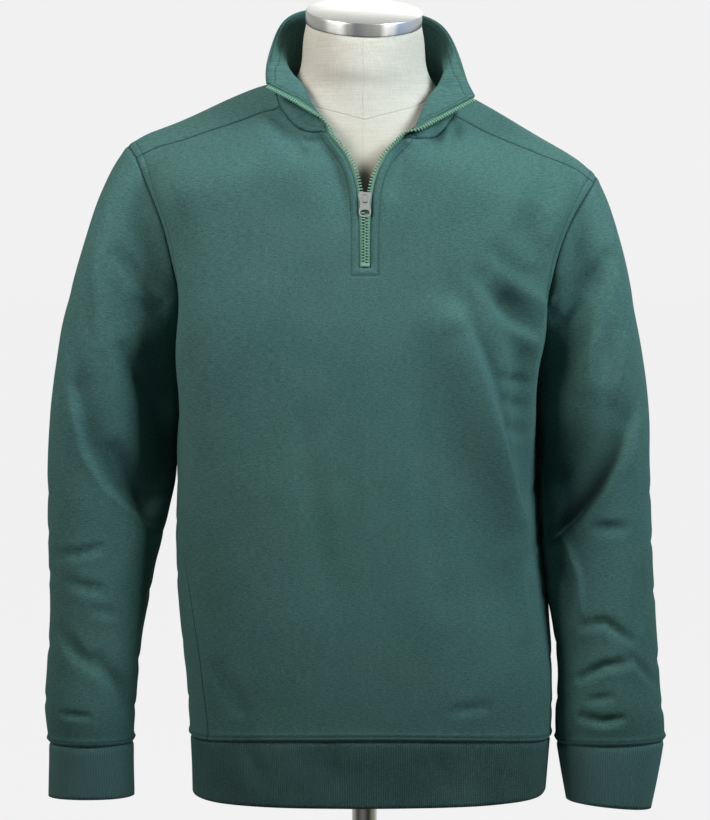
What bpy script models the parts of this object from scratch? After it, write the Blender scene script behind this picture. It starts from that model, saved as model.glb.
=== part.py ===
"""A quarter zip sweatshirt worn by a limbless dress form on a short stand.

Blender 4.5. Metres, +Z up, +X to the right of somebody who looks at the front, -Y to the front.
The origin is on the floor under the pole. The tables are in millimetres, and their heights are
measured from the sweatshirt's lowest level, HEM_LEVEL above the floor.
"""

import math

import bmesh
import bpy
import numpy as np
from mathutils import Matrix, Vector

MM = 0.001
HEM_LEVEL = 190.0  # height of the tables' zero above the floor
SEAM_GAP = 0.3  # between two sewn pieces
FLEECE = 2.0  # thickness of the body fabric
RIB = 2.4  # thickness of the hem and cuff rib
COLLAR_PLY = 1.5  # each of the collar's two layers
PLY_GAP = 0.6
VALLEY_SHARE = 0.08
MITRE_LIMIT = 0.6  # how far a fold may lengthen the way through the cloth

PLACKET_HALF = 5.8  # half the slot that shows the closed zip
TAPE_GAP = 0.6
TAPE_WIDTH = 5.0  # what shows of a tape and its teeth beside the cloth
TAPE_THICK = 0.8
TAPE_STEPS = 3  # the tape's sections to each of the cloth's
CHAIN_GAP = 0.35  # half the space between the closed tapes
POST_ROOM = 1.15  # half the space they leave for the slider's post
POST_REACH = 9.0  # how near the post that space starts

BASE_RADIUS = 165.0
BASE_THICK = 12.0
POLE_RADIUS = 12.5
CAP_RADIUS = 57.5
CAP_THICK = 13.0
CAP_TILT = math.radians(15.5)  # forwards
CAP_LEAN = math.radians(1.8)  # to the right, as the whole form stands
CAP_CENTRE = (-0.5, -15.0, 790.0)

SEAM_CREASE = 0.7
HALF_COLUMNS = 6  # cage columns from the side to the centre of a panel
LAST_LEVEL = 9  # the cage level of the shoulder seam and the neckline
UNDERARM = 4  # the cage level where the side seam ends and the armhole starts
ZIP_END = 6  # the cage level of the zip's bottom end
NECK_COLUMN = 4  # the column where the shoulder seam meets the neckline

# One row for each level, hem seam to neckline. Left is -X. "round" is the exponent of the
# section: lower is boxier. "bulge" pushes the front's side folds outwards. "twist" is how far
# the side seam has turned forwards round the body, in degrees.
LEVEL = (
    "name", "left", "right", "front", "back", "round",
    "bulge_left", "bulge_right", "twist_left", "twist_right",
)  # fmt: skip
#    side point (x, y, z)      side point            centre (y, z)    centre (y, z)
LEVELS = [
    ("hem_seam", (-175, 4, 70), (187, 4, 68), (-115, 80), (110, 68), 0.74, 0, 0, 34, -20),
    ("hip", (-180, 4, 140), (190, 6, 138), (-120, 146), (113, 140), 0.74, 0, 0, 32, -20),
    ("waist", (-189, 8, 230), (185, 40, 226), (-122, 236), (108, 232), 0.74, 0, -0.03, 26, -12),
    ("ribs", (-187, 10, 325), (189, 52, 322), (-124, 332), (109, 330), 0.74, 0.04, -0.03, 14, 0),
    ("underarm", (-174, 12, 424), (170, 16, 413), (-128, 428), (117, 430), 0.74, 0.17, 0.10, 0, 0),
    ("chest", (-177, -32, 480), (172, -32, 468), (-127, 486), (120, 488), 0.74, 0.13, 0.09, 0, 0),
    ("zip_end", (-186, -52, 535), (181, -52, 518), (-122, 540), (119, 542), 0.76, 0.03, 0.02, 0, 0),
    ("slider", (-197, -57, 582), (190, -57, 560), (-115, 612), (114, 598), 0.78, 0, 0, 0, 0),
    ("collarbone", (-212, -46, 618), (206, -46, 594), (-107, 645), (101, 656), 0.82, 0, 0, 0, 0),
]
ARMHOLE_BACK = {  # the back's side point at the levels above the underarm
    5: ((-178, 50, 482), (174, 52, 469)),
    6: ((-190, 66, 538), (185, 66, 520)),
    7: ((-203, 67, 588), (197, 67, 564)),
    8: ((-218, 52, 628), (213, 52, 600)),
}
ZIP_EDGE = {  # the edge beside the zip, left and right, above its bottom end
    7: ((-6.8, -115, 609), (6.8, -115, 609)),
    8: ((-18.5, -107, 645), (18.5, -107, 643)),
    9: ((-39, -99, 669), (40, -99, 665)),
}

# The shoulder, from the armhole (column 0) to the neck (column 4), left then right.
SHOULDER_SEAM = [  # the seam between front and back, which lies in front of the ridge
    ((-225, -28, 645), (227, -28, 621)),
    ((-190, -36, 660), (196, -34, 640)),
    ((-153, -42, 672), (162, -40, 653)),
    ((-114, -50, 684), (122, -47, 669)),
    ((-83, -56, 697), (87, -56, 687)),
]
SHOULDER_RIDGE = [
    ((-235, -2, 659), (229, -2, 629)),
    ((-200, -3, 676), (197, -3, 653)),
    ((-157, -4, 696), (160, -4, 676)),
    ((-117, -6, 714), (122, -6, 698)),
    ((-86, -10, 721), (88, -10, 715)),
]
SHOULDER_BACK = [
    ((-231, 26, 650), (226, 26, 623)),
    ((-195, 34, 667), (194, 34, 646)),
    ((-153, 40, 686), (156, 40, 668)),
    ((-112, 42, 703), (116, 42, 692)),
    ((-73, 36, 719), (74, 36, 715)),
]
NECKLINE_FRONT = ((-65, -87, 673), (68, -86, 666))  # column 5
NECKLINE_BACK = ((-41, 61, 718), (42, 61, 716))  # column 5
NAPE = (0, 71, 717)

# Collar: its top edge and its middle, from the left front corner round the back to the right.
COLLAR_TOP = [
    (-96, -62, 717), (-97, -46, 732), (-92, -10, 757), (-82, 22, 782), (-62, 48, 794),
    (-34, 68, 798), (0, 76, 798), (32, 68, 796), (59, 46, 789), (79, 20, 777),
    (92, -12, 751), (100, -47, 720), (107, -62, 704),
]  # fmt: skip
COLLAR_BELLY = 3.0  # how far the middle of the collar stands out from a straight band
# Half way up each turned-out wing, where the collar first leans in to the neck.
WING_MIDDLE = {
    0: (-45, -95, 687),
    1: (-63, -72, 706),
    11: (67, -70, 699),
    12: (56, -92, 676),
}

# Sleeves: outer and inner point (x, z) of each ring, its middle y, its half depth, and how far
# the arm's turn carries the inner point back and the outer one forward.
SLEEVE = ("outer", "inner", "middle", "half_depth", "turn")
LEFT_SLEEVE = [
    ((-264, 606), (-189, 400), 3, 66, 18),
    ((-288, 530), (-188, 366), 4, 67, 22),
    ((-307, 440), (-191, 325), 1, 66, 16),
    ((-316, 345), (-198, 283), -3, 61, 10),
    ((-315, 245), (-210, 232), -6, 56, 4),
    ((-316, 158), (-223, 158), -10, 52, 0),
    ((-321, 100), (-228, 102), -12, 50, 0),
    ((-316, 64), (-230, 64), -13, 41, 0),
]
RIGHT_SLEEVE = [
    ((252, 572), (182, 386), 1, 66, 14),
    ((268, 497), (182, 352), -2, 68, 10),
    ((281, 420), (186, 314), -3, 66, 0),
    ((285, 335), (184, 270), -4, 61, 0),
    ((288, 242), (183, 222), -7, 57, 0),
    ((293, 160), (192, 158), -10, 53, 0),
    ((298, 100), (191, 102), -12, 51, 0),
    ((300, 66), (191, 64), -13, 43, 0),
]
LEFT_CUFF = [((-317, 9), (-231, 10), -13, 31, 0)]
RIGHT_CUFF = [((288, -3), (201, 6), -13, 33, 0)]
SLEEVE_ROUND = 0.9

# Hem rib: side points (x, z), then front and back (y, z).
HEM_BAND = [((-173, 14), (183, 15), (-117, 15), (111, 12))]

# Large folds of the cloth: two ends, half width, height (negative is a trough), all in mm.
FOLD = ("start", "end", "half_width", "height")
FOLDS = [
    ((150, -105, 505), (122, -117, 440), 20, -6),  # right breast, where the cloth sinks
    ((128, -118, 485), (160, -85, 300), 15, 7),  # the ridge that runs down from it
    ((215, -58, 545), (180, -60, 500), 9, -7),  # under the right sleeve's front seam
    ((262, -48, 420), (188, -62, 330), 15, -11),  # deep crease at the right elbow
    ((282, -40, 370), (205, -60, 300), 18, 6),
    ((-285, -50, 390), (-215, -55, 250), 14, 6),  # left elbow's slanting ridges
    ((-262, -62, 380), (-205, -52, 280), 12, -7),
    ((-305, -30, 300), (-245, -58, 262), 11, -5),
    ((-308, -30, 210), (-262, -60, 140), 12, -4),
    ((283, -35, 180), (205, -60, 150), 10, -5),  # rucks above the right cuff
    ((285, -35, 130), (210, -60, 112), 10, -5),
    ((-190, 70, 560), (-120, 112, 500), 18, -5),  # across the back, from the armholes
    ((185, 70, 540), (115, 112, 480), 18, -5),
    ((-60, 110, 250), (60, 112, 235), 20, -6),  # the small of the back
    ((186, -6, 395), (186, -6, 255), 24, -2.5),  # where the right sleeve lies against the body
    ((-284, 52, 360), (-215, 52, 300), 14, -7),
    ((256, 52, 350), (190, 52, 290), 14, -7),
]

# Dress form, level by level: half widths, centre line in front and behind, height. "round" is
# the section's exponent, and "lean" is how much it falls for each mm to the right.
FORM = ("left", "right", "front", "back", "z", "round", "lean")
FORM_LEVELS = [
    (150, 156, -92, 88, 52, 0.86, 0.0),
    (156, 162, -97, 94, 90, 0.86, 0.0),
    (155, 156, -98, 90, 170, 0.88, 0.0),
    (148, 142, -97, 84, 250, 0.88, 0.0),
    (152, 144, -102, 88, 330, 0.86, 0.0),
    (160, 152, -108, 97, 410, 0.84, 0.0),
    (166, 159, -110, 102, 480, 0.84, 0.01),
    (171, 164, -109, 104, 540, 0.86, 0.02),
    (178, 172, -102, 101, 588, 0.90, 0.035),
    (183, 180, -92, 95, 625, 0.96, 0.05),
    (183, 182, -84, 89, 652, 1.08, 0.052),
    (172, 172, -79, 85, 671.5, 1.21, 0.052),
    (149, 149, -76, 81, 685, 1.28, 0.052),
    (116, 116, -74, 77, 697.3, 1.30, 0.052),
    (88, 88, -72.5, 70, 709.3, 1.20, 0.045),
    (73, 73, -71, 62, 719, 1.08, 0.04),
]
NECK_RINGS = [  # centre y, height, radius, share of the cap's tilt
    (-8.5, 739, 66.0, 0.60),
    (-9.5, 757, 62.5, 0.85),
    (-11.4, 777.1, 57.3, 1.00),
]

# The slider, measured from its middle, and the pull, measured from its axis.
SLIDER_MIDDLE = (0.0, -114.4, 604.5)
SLIDER_SLOPE = math.radians(5.5)  # the chest's slope there
PLATE_OUTLINE = [  # half width and height up the chain, from the foot to the crown
    (3.6, -6.4), (4.7, -5.2), (4.7, -1.5), (6.2, 3.6), (6.2, 6.2), (5.0, 7.4), (1.6, 7.6),
]  # fmt: skip
PLATE_THICK = 1.1
PLATE_GAP = 3.1  # between the slider's two plates, where the chain runs
POST_WIDTH = 1.6
BAIL_WIDTH = 3.6
BAIL_THICK = 1.3
BAIL_RISE = 4.1
BAIL_ENDS = (-2.9, 5.2)
PULL_THICK = 1.2
PULL_OUTLINE = [  # half width and height
    (4.5, 0.9), (4.5, -4.6), (4.8, -6.8), (5.7, -9.3), (6.05, -11.6), (5.8, -13.6),
    (4.6, -15.4), (2.6, -16.3),
]  # fmt: skip
PULL_TIP = -16.5
PULL_EYE = (2.4, -0.9, -4.1)  # half width, top, bottom
PULL_HOLE = (4.45, 2.8, -12.3)  # half width, half height, middle
PULL_AXIS = (4.25, 0.2)  # in front of the chain's middle, and up it
PULL_SWING_DEG = 125


def place(point):
    """Turns a table's millimetres into a point of the part."""
    x, y, z = point
    return Vector((x * MM, y * MM, (z + HEM_LEVEL) * MM))


def row_of(names, values):
    return dict(zip(names, values))


# ---------------------------------------------------------------- scene and finishes


def clear_scene():
    for obj in list(bpy.data.objects):
        bpy.data.objects.remove(obj)


def finish(name, colour, roughness, metallic=0.0):
    material = bpy.data.materials.new(name)
    material.use_nodes = True
    shader = material.node_tree.nodes["Principled BSDF"]
    shader.inputs["Base Color"].default_value = (*colour, 1.0)
    shader.inputs["Roughness"].default_value = roughness
    shader.inputs["Metallic"].default_value = metallic
    return material


def collection(name):
    made = bpy.data.collections.new(name)
    bpy.context.scene.collection.children.link(made)
    return made


def add_object(name, mesh, group, material, smooth_angle=None):
    obj = bpy.data.objects.new(name, mesh)
    group.objects.link(obj)
    mesh.materials.clear()
    mesh.materials.append(material)
    if smooth_angle is not None:
        mesh.shade_smooth()
        mesh.set_sharp_from_angle(angle=math.radians(smooth_angle))
    return obj


def evaluated_mesh(obj):
    graph = bpy.context.evaluated_depsgraph_get()
    return bpy.data.meshes.new_from_object(obj.evaluated_get(graph))


# ---------------------------------------------------------------- the garment's cage


class Cage:
    """Named points and the quads between them. Panels that are sewn together share points."""

    def __init__(self):
        self.points = []
        self.index = {}
        self.faces = []
        self.pieces = []

    def add(self, key, point):
        if key not in self.index:
            self.index[key] = len(self.points)
            self.points.append(place(point))
        return self.index[key]

    def same(self, key, other):
        """Gives a point a second name."""
        self.index[key] = self.index[other]

    def quad(self, piece, *keys):
        self.faces.append([self.index[key] for key in keys])
        self.pieces.append(piece)

    def grid(self, piece, rows):
        """Quads between each row of keys and the next. Rows run left to right, then upwards."""
        for low, high in zip(rows, rows[1:]):
            for i in range(len(low) - 1):
                self.quad(piece, low[i], low[i + 1], high[i + 1], high[i])


def section_point(level, side, ends, column, behind):
    """A point of half a level's section, from the side seam (column 0) to the centre.

    "ends" holds the section's side point and its centres in front and behind.
    """
    side_point, front, back = ends
    start = level["twist_" + side] * (-1 if behind else 1)
    angle = math.radians(start + (90 - start) * column / HALF_COLUMNS)
    rear = behind == (angle >= 0)
    centre = back if rear else front
    angle = abs(angle)
    across = math.cos(angle) ** level["round"] if column < HALF_COLUMNS else 0.0
    forward = math.sin(angle) ** level["round"]
    if not rear:
        across *= 1 + level["bulge_" + side] * math.sin(2 * angle) ** 2
    x = side_point[0] * across
    y = side_point[1] + (centre[0] - side_point[1]) * forward
    rise = (1 - math.cos(2 * angle)) / 2
    z = side_point[2] + (centre[1] - side_point[2]) * rise
    return x, y, z


def front_key(level, side, column):
    return ("front", level, side, column)


def back_key(level, side, column):
    if column == HALF_COLUMNS:
        side = "middle"
    return ("back", level, side, column)


SIDES = ("left", "right")


def add_levels(cage):
    """The body's points from the hem seam to the level under the shoulder."""
    for number, values in enumerate(LEVELS):
        level = row_of(LEVEL, values)
        for side_number, side in enumerate(SIDES):
            sign = (-1, 1)[side_number]
            ends = [level[side], level["front"], level["back"]]
            for column in range(HALF_COLUMNS + 1):
                point = section_point(level, side, ends, column, False)
                if column == HALF_COLUMNS:
                    point = (sign * PLACKET_HALF, point[1], point[2])
                    if number in ZIP_EDGE:
                        point = ZIP_EDGE[number][side_number]
                cage.add(front_key(number, side, column), point)
            if number in ARMHOLE_BACK:
                ends[0] = ARMHOLE_BACK[number][side_number]
            else:
                cage.same(back_key(number, side, 0), front_key(number, side, 0))
            for column in range(HALF_COLUMNS + 1):
                point = section_point(level, side, ends, column, True)
                cage.add(back_key(number, side, column), point)


def add_shoulders(cage):
    for side_number, side in enumerate(SIDES):
        for column in range(NECK_COLUMN + 1):
            cage.add(
                front_key(LAST_LEVEL, side, column), SHOULDER_SEAM[column][side_number]
            )
            cage.add(
                back_key(LAST_LEVEL, side, column), SHOULDER_BACK[column][side_number]
            )
            cage.add(
                back_key(LAST_LEVEL + 1, side, column),
                SHOULDER_RIDGE[column][side_number],
            )
            cage.same(
                back_key(LAST_LEVEL + 2, side, column),
                front_key(LAST_LEVEL, side, column),
            )
        cage.add(
            front_key(LAST_LEVEL, side, NECK_COLUMN + 1), NECKLINE_FRONT[side_number]
        )
        cage.add(
            front_key(LAST_LEVEL, side, HALF_COLUMNS),
            ZIP_EDGE[LAST_LEVEL][side_number],
        )
        cage.add(
            back_key(LAST_LEVEL, side, NECK_COLUMN + 1), NECKLINE_BACK[side_number]
        )
        cage.add(back_key(LAST_LEVEL, side, HALF_COLUMNS), NAPE)


def body_row(key, level, last=HALF_COLUMNS):
    left = [key(level, "left", column) for column in range(last + 1)]
    right = [key(level, "right", column) for column in range(last, -1, -1)]
    return left, right


def add_body_faces(cage):
    levels = range(LAST_LEVEL + 1)
    for side_number, side in enumerate(SIDES):
        front = [body_row(front_key, level)[side_number] for level in levels]
        cage.grid("front", front)
        back = [body_row(back_key, level)[side_number][::-1] for level in levels]
        cage.grid("back", back)
        over = [
            body_row(back_key, level, NECK_COLUMN)[side_number][::-1]
            for level in range(LAST_LEVEL, LAST_LEVEL + 3)
        ]
        cage.grid("back", over)
    under_zip = [
        [front_key(level, side, HALF_COLUMNS) for side in SIDES]
        for level in range(ZIP_END + 1)
    ]
    cage.grid("front", under_zip)


def ring_keys(name, ring, count):
    return [(name, ring, i % count) for i in range(count + 1)]


def add_hem(cage):
    """The rib band, whose first ring is the body's lowest level."""
    top = front_round(0) + back_round(0)
    count = len(top)
    for i, key in enumerate(top):
        cage.same(("hem", 0, i), key)
    seam = row_of(LEVEL, LEVELS[0])
    for ring, (left, right, front, back) in enumerate(HEM_BAND, start=1):
        for i, key in enumerate(top):
            panel, _, side, column = key
            end_x, end_z = right if side == "right" else left
            ends = ((end_x, seam["left"][1], end_z), front, back)
            name = "right" if side == "right" else "left"
            x, y, z = section_point(seam, name, ends, column, panel == "back")
            if panel == "front" and column == HALF_COLUMNS:
                x = math.copysign(PLACKET_HALF, end_x)
            cage.add(("hem", ring, i), (x, y, z))
    cage.grid("hem_band", [ring_keys("hem", ring, count) for ring in (1, 0)])


def front_round(level):
    """The level's front points from the left side seam to the right one."""
    left, right = body_row(front_key, level)
    return left + right


def back_round(level):
    """The level's back points between the side seams, from right to left."""
    left, right = body_row(back_key, level)
    return right[::-1][1:] + left[::-1][1:-1]


def armhole_keys(side):
    """The armhole's points from the shoulder ridge down the front and up the back."""
    front = [front_key(level, side, 0) for level in range(LAST_LEVEL, UNDERARM - 1, -1)]
    back = [back_key(level, side, 0) for level in range(UNDERARM + 1, LAST_LEVEL + 1)]
    return [back_key(LAST_LEVEL + 1, side, 0)] + front + back


def tube_ring(values, count):
    """Points of a sleeve's ring, from its outer point forwards to its inner one and back."""
    ring = row_of(SLEEVE, values)
    (outer_x, outer_z), (inner_x, inner_z) = ring["outer"], ring["inner"]
    for i in range(count):
        angle = math.tau * i / count
        along = math.copysign(abs(math.cos(angle)) ** SLEEVE_ROUND, math.cos(angle))
        forward = math.copysign(abs(math.sin(angle)) ** SLEEVE_ROUND, math.sin(angle))
        share = (1 - along) / 2
        yield (
            outer_x + (inner_x - outer_x) * share,
            ring["middle"] - ring["half_depth"] * forward - ring["turn"] * along,
            outer_z + (inner_z - outer_z) * share,
        )


def add_sleeve(cage, side, sleeve_rings, cuff_rings):
    armhole = armhole_keys(side)
    count = len(armhole)
    name = "sleeve_" + side
    for i, key in enumerate(armhole):
        cage.same((name, 0, i), key)
    for ring, values in enumerate(sleeve_rings + cuff_rings, start=1):
        for i, point in enumerate(tube_ring(values, count)):
            cage.add((name, ring, i), point)
    rings = [
        ring_keys(name, ring, count)
        for ring in range(len(sleeve_rings) + len(cuff_rings) + 1)
    ]
    if side == "right":
        rings = [ring[::-1] for ring in rings]
    seam = len(sleeve_rings)
    cage.grid(name, [ring[::-1] for ring in rings[: seam + 1]])
    cage.grid("cuff_" + side, [ring[::-1] for ring in rings[seam:]])


def neckline_keys():
    """The neckline from the left side of the zip round the back to the right side."""
    left = [
        front_key(LAST_LEVEL, "left", HALF_COLUMNS),
        front_key(LAST_LEVEL, "left", NECK_COLUMN + 1),
        front_key(LAST_LEVEL, "left", NECK_COLUMN),
        back_key(LAST_LEVEL + 1, "left", NECK_COLUMN),
        back_key(LAST_LEVEL, "left", NECK_COLUMN),
        back_key(LAST_LEVEL, "left", NECK_COLUMN + 1),
    ]
    right = [key[:2] + ("right",) + key[3:] for key in left[::-1]]
    return left + [back_key(LAST_LEVEL, "left", HALF_COLUMNS)] + right


def add_collar(cage):
    for i, key in enumerate(neckline_keys()):
        cage.same(("collar", 0, i), key)
        low = np.array(cage.points[cage.index[key]]) / MM - (0, 0, HEM_LEVEL)
        high = np.array(COLLAR_TOP[i], float)
        outwards = np.array((high[0], high[1], 0.0))
        outwards /= np.linalg.norm(outwards)
        share = math.sin(math.pi * i / (len(COLLAR_TOP) - 1))
        middle = (low + high) / 2 + outwards * COLLAR_BELLY * share
        cage.add(("collar", 1, i), WING_MIDDLE.get(i, middle))
        cage.add(("collar", 2, i), high)
    count = len(COLLAR_TOP)
    cage.grid(
        "collar",
        [[("collar", ring, i) for i in reversed(range(count))] for ring in range(3)],
    )


def build_cage():
    cage = Cage()
    add_levels(cage)
    add_shoulders(cage)
    add_body_faces(cage)
    add_hem(cage)
    add_sleeve(cage, "left", LEFT_SLEEVE, LEFT_CUFF)
    add_sleeve(cage, "right", RIGHT_SLEEVE, RIGHT_CUFF)
    add_collar(cage)
    return cage


# ---------------------------------------------------------------- from the cage to panels


def crease_seams(mesh, cage):
    """Holds the seams sharp where the cloth turns: under the arms and round the neck."""
    lines = [[cage.index[key] for key in neckline_keys()]]
    for side in SIDES:
        for key in (front_key, back_key):
            levels = range(UNDERARM, UNDERARM + 3)
            lines.append([cage.index[key(level, side, 0)] for level in levels])
    folded = {frozenset(ends) for line in lines for ends in zip(line, line[1:])}
    crease = mesh.attributes.new("crease_edge", "FLOAT", "EDGE")
    for edge in mesh.edges:
        if frozenset(edge.vertices) in folded:
            crease.data[edge.index].value = SEAM_CREASE


def draped_surface(cage):
    """The cage smoothed once, pushed out so that the smooth cloth passes through its points."""
    mesh = bpy.data.meshes.new("garment_cage")
    mesh.from_pydata(cage.points, [], cage.faces)
    names = sorted(set(cage.pieces))
    for polygon, piece in zip(mesh.polygons, cage.pieces):
        polygon.material_index = names.index(piece)
    for name in names:
        mesh.materials.append(bpy.data.materials.new("panel_" + name))
    obj = bpy.data.objects.new("garment_cage", mesh)
    bpy.context.scene.collection.objects.link(obj)
    smooth = obj.modifiers.new("drape", "SUBSURF")
    smooth.levels = smooth.render_levels = 1
    smooth.boundary_smooth = "PRESERVE_CORNERS"
    square = mesh.attributes.new("crease_vert", "FLOAT", "POINT")
    for side in SIDES:
        square.data[cage.index[front_key(ZIP_END, side, HALF_COLUMNS)]].value = 1.0
    crease_seams(mesh, cage)
    wanted = np.array(cage.points)
    points = wanted.copy()
    for _ in range(3):
        reached = evaluated_mesh(obj)
        got = np.array([v.co for v in reached.vertices[: len(wanted)]])
        bpy.data.meshes.remove(reached)
        points += wanted - got
        mesh.vertices.foreach_set("co", points.astype(np.float32).ravel())
        mesh.update()
    surface = evaluated_mesh(obj)
    bpy.data.objects.remove(obj)
    return surface, names


def fold_height(point, fold):
    """How far one fold lifts the cloth at a point: a soft ridge that fades at its ends."""
    start, end = place(fold["start"]), place(fold["end"])
    line = end - start
    share = (point - start).dot(line) / line.length_squared
    away = (point - start - line * min(1.0, max(0.0, share))).length
    reach = fold["half_width"] * MM
    return fold["height"] * MM * math.exp(-((away / reach) ** 2))


def press_folds(surface):
    """Lifts and sinks the cloth along the table's folds."""
    folds = [row_of(FOLD, values) for values in FOLDS]
    normals = [v.normal.copy() for v in surface.vertices]
    for vertex, normal in zip(surface.vertices, normals):
        lift = sum(fold_height(vertex.co, fold) for fold in folds)
        vertex.co += normal * lift
    surface.update()


def inward_normals(surface):
    """Each point's way into the cloth, longer where the cloth folds, so that walls stay even."""
    lean = [0.0] * len(surface.vertices)
    faces = [0] * len(surface.vertices)
    for polygon in surface.polygons:
        for v in polygon.vertices:
            lean[v] += polygon.normal.dot(surface.vertices[v].normal)
            faces[v] += 1
    return [
        -vertex.normal / max(total / count, MITRE_LIMIT)
        for vertex, total, count in zip(surface.vertices, lean, faces)
    ]


def valley_points(surface):
    """The points that lie in a fold's floor, as seen from outside."""
    middle = [Vector() for _ in surface.vertices]
    reach = [0.0] * len(surface.vertices)
    count = [0] * len(surface.vertices)
    for a, b in surface.edge_keys:
        length = (surface.vertices[a].co - surface.vertices[b].co).length
        for v, other in ((a, b), (b, a)):
            middle[v] += surface.vertices[other].co
            reach[v] += length
            count[v] += 1
    return {
        v.index
        for v, total, length, n in zip(surface.vertices, middle, reach, count)
        if (total / n - v.co).dot(v.normal) > VALLEY_SHARE * length / n
    }


def own_normals(surface, faces):
    """Each point's normal from the given faces alone."""
    sums = {}
    for polygon in faces:
        for v in polygon.vertices:
            sums.setdefault(v, []).append(polygon.normal)
    return {v: sum(parts, Vector()).normalized() for v, parts in sums.items()}


def curled_ways(surface, faces):
    """Each point's way into a piece that curls: its own, drawn towards its neighbours'."""
    ways = {v: -normal for v, normal in own_normals(surface, faces).items()}
    around = {}
    for polygon in faces:
        for a, b in polygon.edge_keys:
            around.setdefault(a, []).append(b)
            around.setdefault(b, []).append(a)
    for _ in range(2):
        for v, others in around.items():
            drawn = sum((ways[other] for other in others), Vector()) / len(others)
            ways[v] = (ways[v] + drawn) / 2
    return ways


def panel_wall(surface, piece_number, outside, inside, curls=False):
    """A closed wall for one panel, between two depths under the draped surface.

    Its edge is drawn back from the seam by half the gap, and its end faces stand on the
    shared surface's own normals, so that two panels meet in a mitre.
    """
    faces = [p for p in surface.polygons if p.material_index == piece_number]
    used = sorted({v for p in faces for v in p.vertices})
    number = {v: i for i, v in enumerate(used)}
    edge_count = {}
    for polygon in faces:
        for edge in polygon.edge_keys:
            edge_count[edge] = edge_count.get(edge, 0) + 1
    rim = {edge for edge, count in edge_count.items() if count == 1}
    normals = {v: surface.vertices[v].normal.copy() for v in used}
    points = draw_back_edges(surface, faces, rim, used, normals)
    inwards = inward_normals(surface)
    own = own_normals(surface, faces)
    # In a seam that lies in a valley the insides spread apart, and each panel ends square.
    for v in valley_points(surface) & {v for edge in rim for v in edge}:
        inwards[v] = -own[v]
    if curls:
        inwards = curled_ways(surface, faces)

    wall = bmesh.new()
    tops = [wall.verts.new(points[v] + inwards[v] * outside * MM) for v in used]
    floors = [wall.verts.new(points[v] + inwards[v] * inside * MM) for v in used]
    for polygon in faces:
        a, b, c, d = (number[v] for v in polygon.vertices)
        # Both sides are split along the same diagonal, so that the wall keeps its thickness.
        for corners in ((a, b, c), (a, c, d)):
            wall.faces.new([tops[i] for i in corners])
            wall.faces.new([floors[i] for i in reversed(corners)])
        for a, b in zip(polygon.vertices, list(polygon.vertices[1:]) + [polygon.vertices[0]]):
            if (min(a, b), max(a, b)) not in rim:
                continue
            i, j = number[a], number[b]
            # The neighbouring panel's end face is split the same way, from the lower number.
            if a < b:
                wall.faces.new([tops[j], tops[i], floors[j]])
                wall.faces.new([tops[i], floors[i], floors[j]])
            else:
                wall.faces.new([tops[j], tops[i], floors[i]])
                wall.faces.new([tops[j], floors[i], floors[j]])
    wall.normal_update()
    mesh = bpy.data.meshes.new("panel")
    wall.to_mesh(mesh)
    wall.free()
    return mesh


def draw_back_edges(surface, faces, rim, used, normals):
    """The panel's points, with those on its edge moved inwards by half the seam gap."""
    points = {v: surface.vertices[v].co.copy() for v in used}
    inwards = {}
    for polygon in faces:
        corners = list(polygon.vertices)
        for a, b in zip(corners, corners[1:] + corners[:1]):
            if (min(a, b), max(a, b)) not in rim:
                continue
            along = points[b] - points[a]
            for v in (a, b):
                step = normals[v].cross(along).normalized()
                inwards.setdefault(v, []).append(step)
    moved = dict(points)
    for v, steps in inwards.items():
        total = sum(steps, Vector())
        # A corner moves along the bisector, far enough to clear both of its edges.
        reach = max(total.normalized().dot(step) for step in steps)
        moved[v] = points[v] + total.normalized() * (SEAM_GAP / 2 * MM / max(reach, 0.5))
    return moved


# ---------------------------------------------------------------- zip


def opening_edge(surface, names, side):
    """The edge beside one half of the zip: each point's neighbours along it and the way out."""
    sign = -1 if side == "left" else 1
    wanted = {names.index("front"), names.index("collar")}
    faces = [p for p in surface.polygons if p.material_index in wanted]
    count = {}
    for polygon in faces:
        for edge in polygon.edge_keys:
            count[edge] = count.get(edge, 0) + 1
    points = [v.co.copy() for v in surface.vertices]
    low = place((0, -50, LEVELS[ZIP_END][3][1] - 1))
    neighbours, outwards = {}, {}
    for polygon in faces:
        corners = list(polygon.vertices)
        for a, b in zip(corners, corners[1:] + corners[:1]):
            middle = (points[a] + points[b]) / 2
            beside = middle.y < low.y and middle.z > low.z and middle.x * sign > 2 * MM
            if count[(min(a, b), max(a, b))] > 1 or not beside:
                continue
            neighbours.setdefault(a, []).append(b)
            neighbours.setdefault(b, []).append(a)
            for v in (a, b):
                step = (points[b] - points[a]).cross(surface.vertices[v].normal)
                outwards[v] = outwards.get(v, Vector()) + step.normalized()
    return neighbours, outwards


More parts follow.
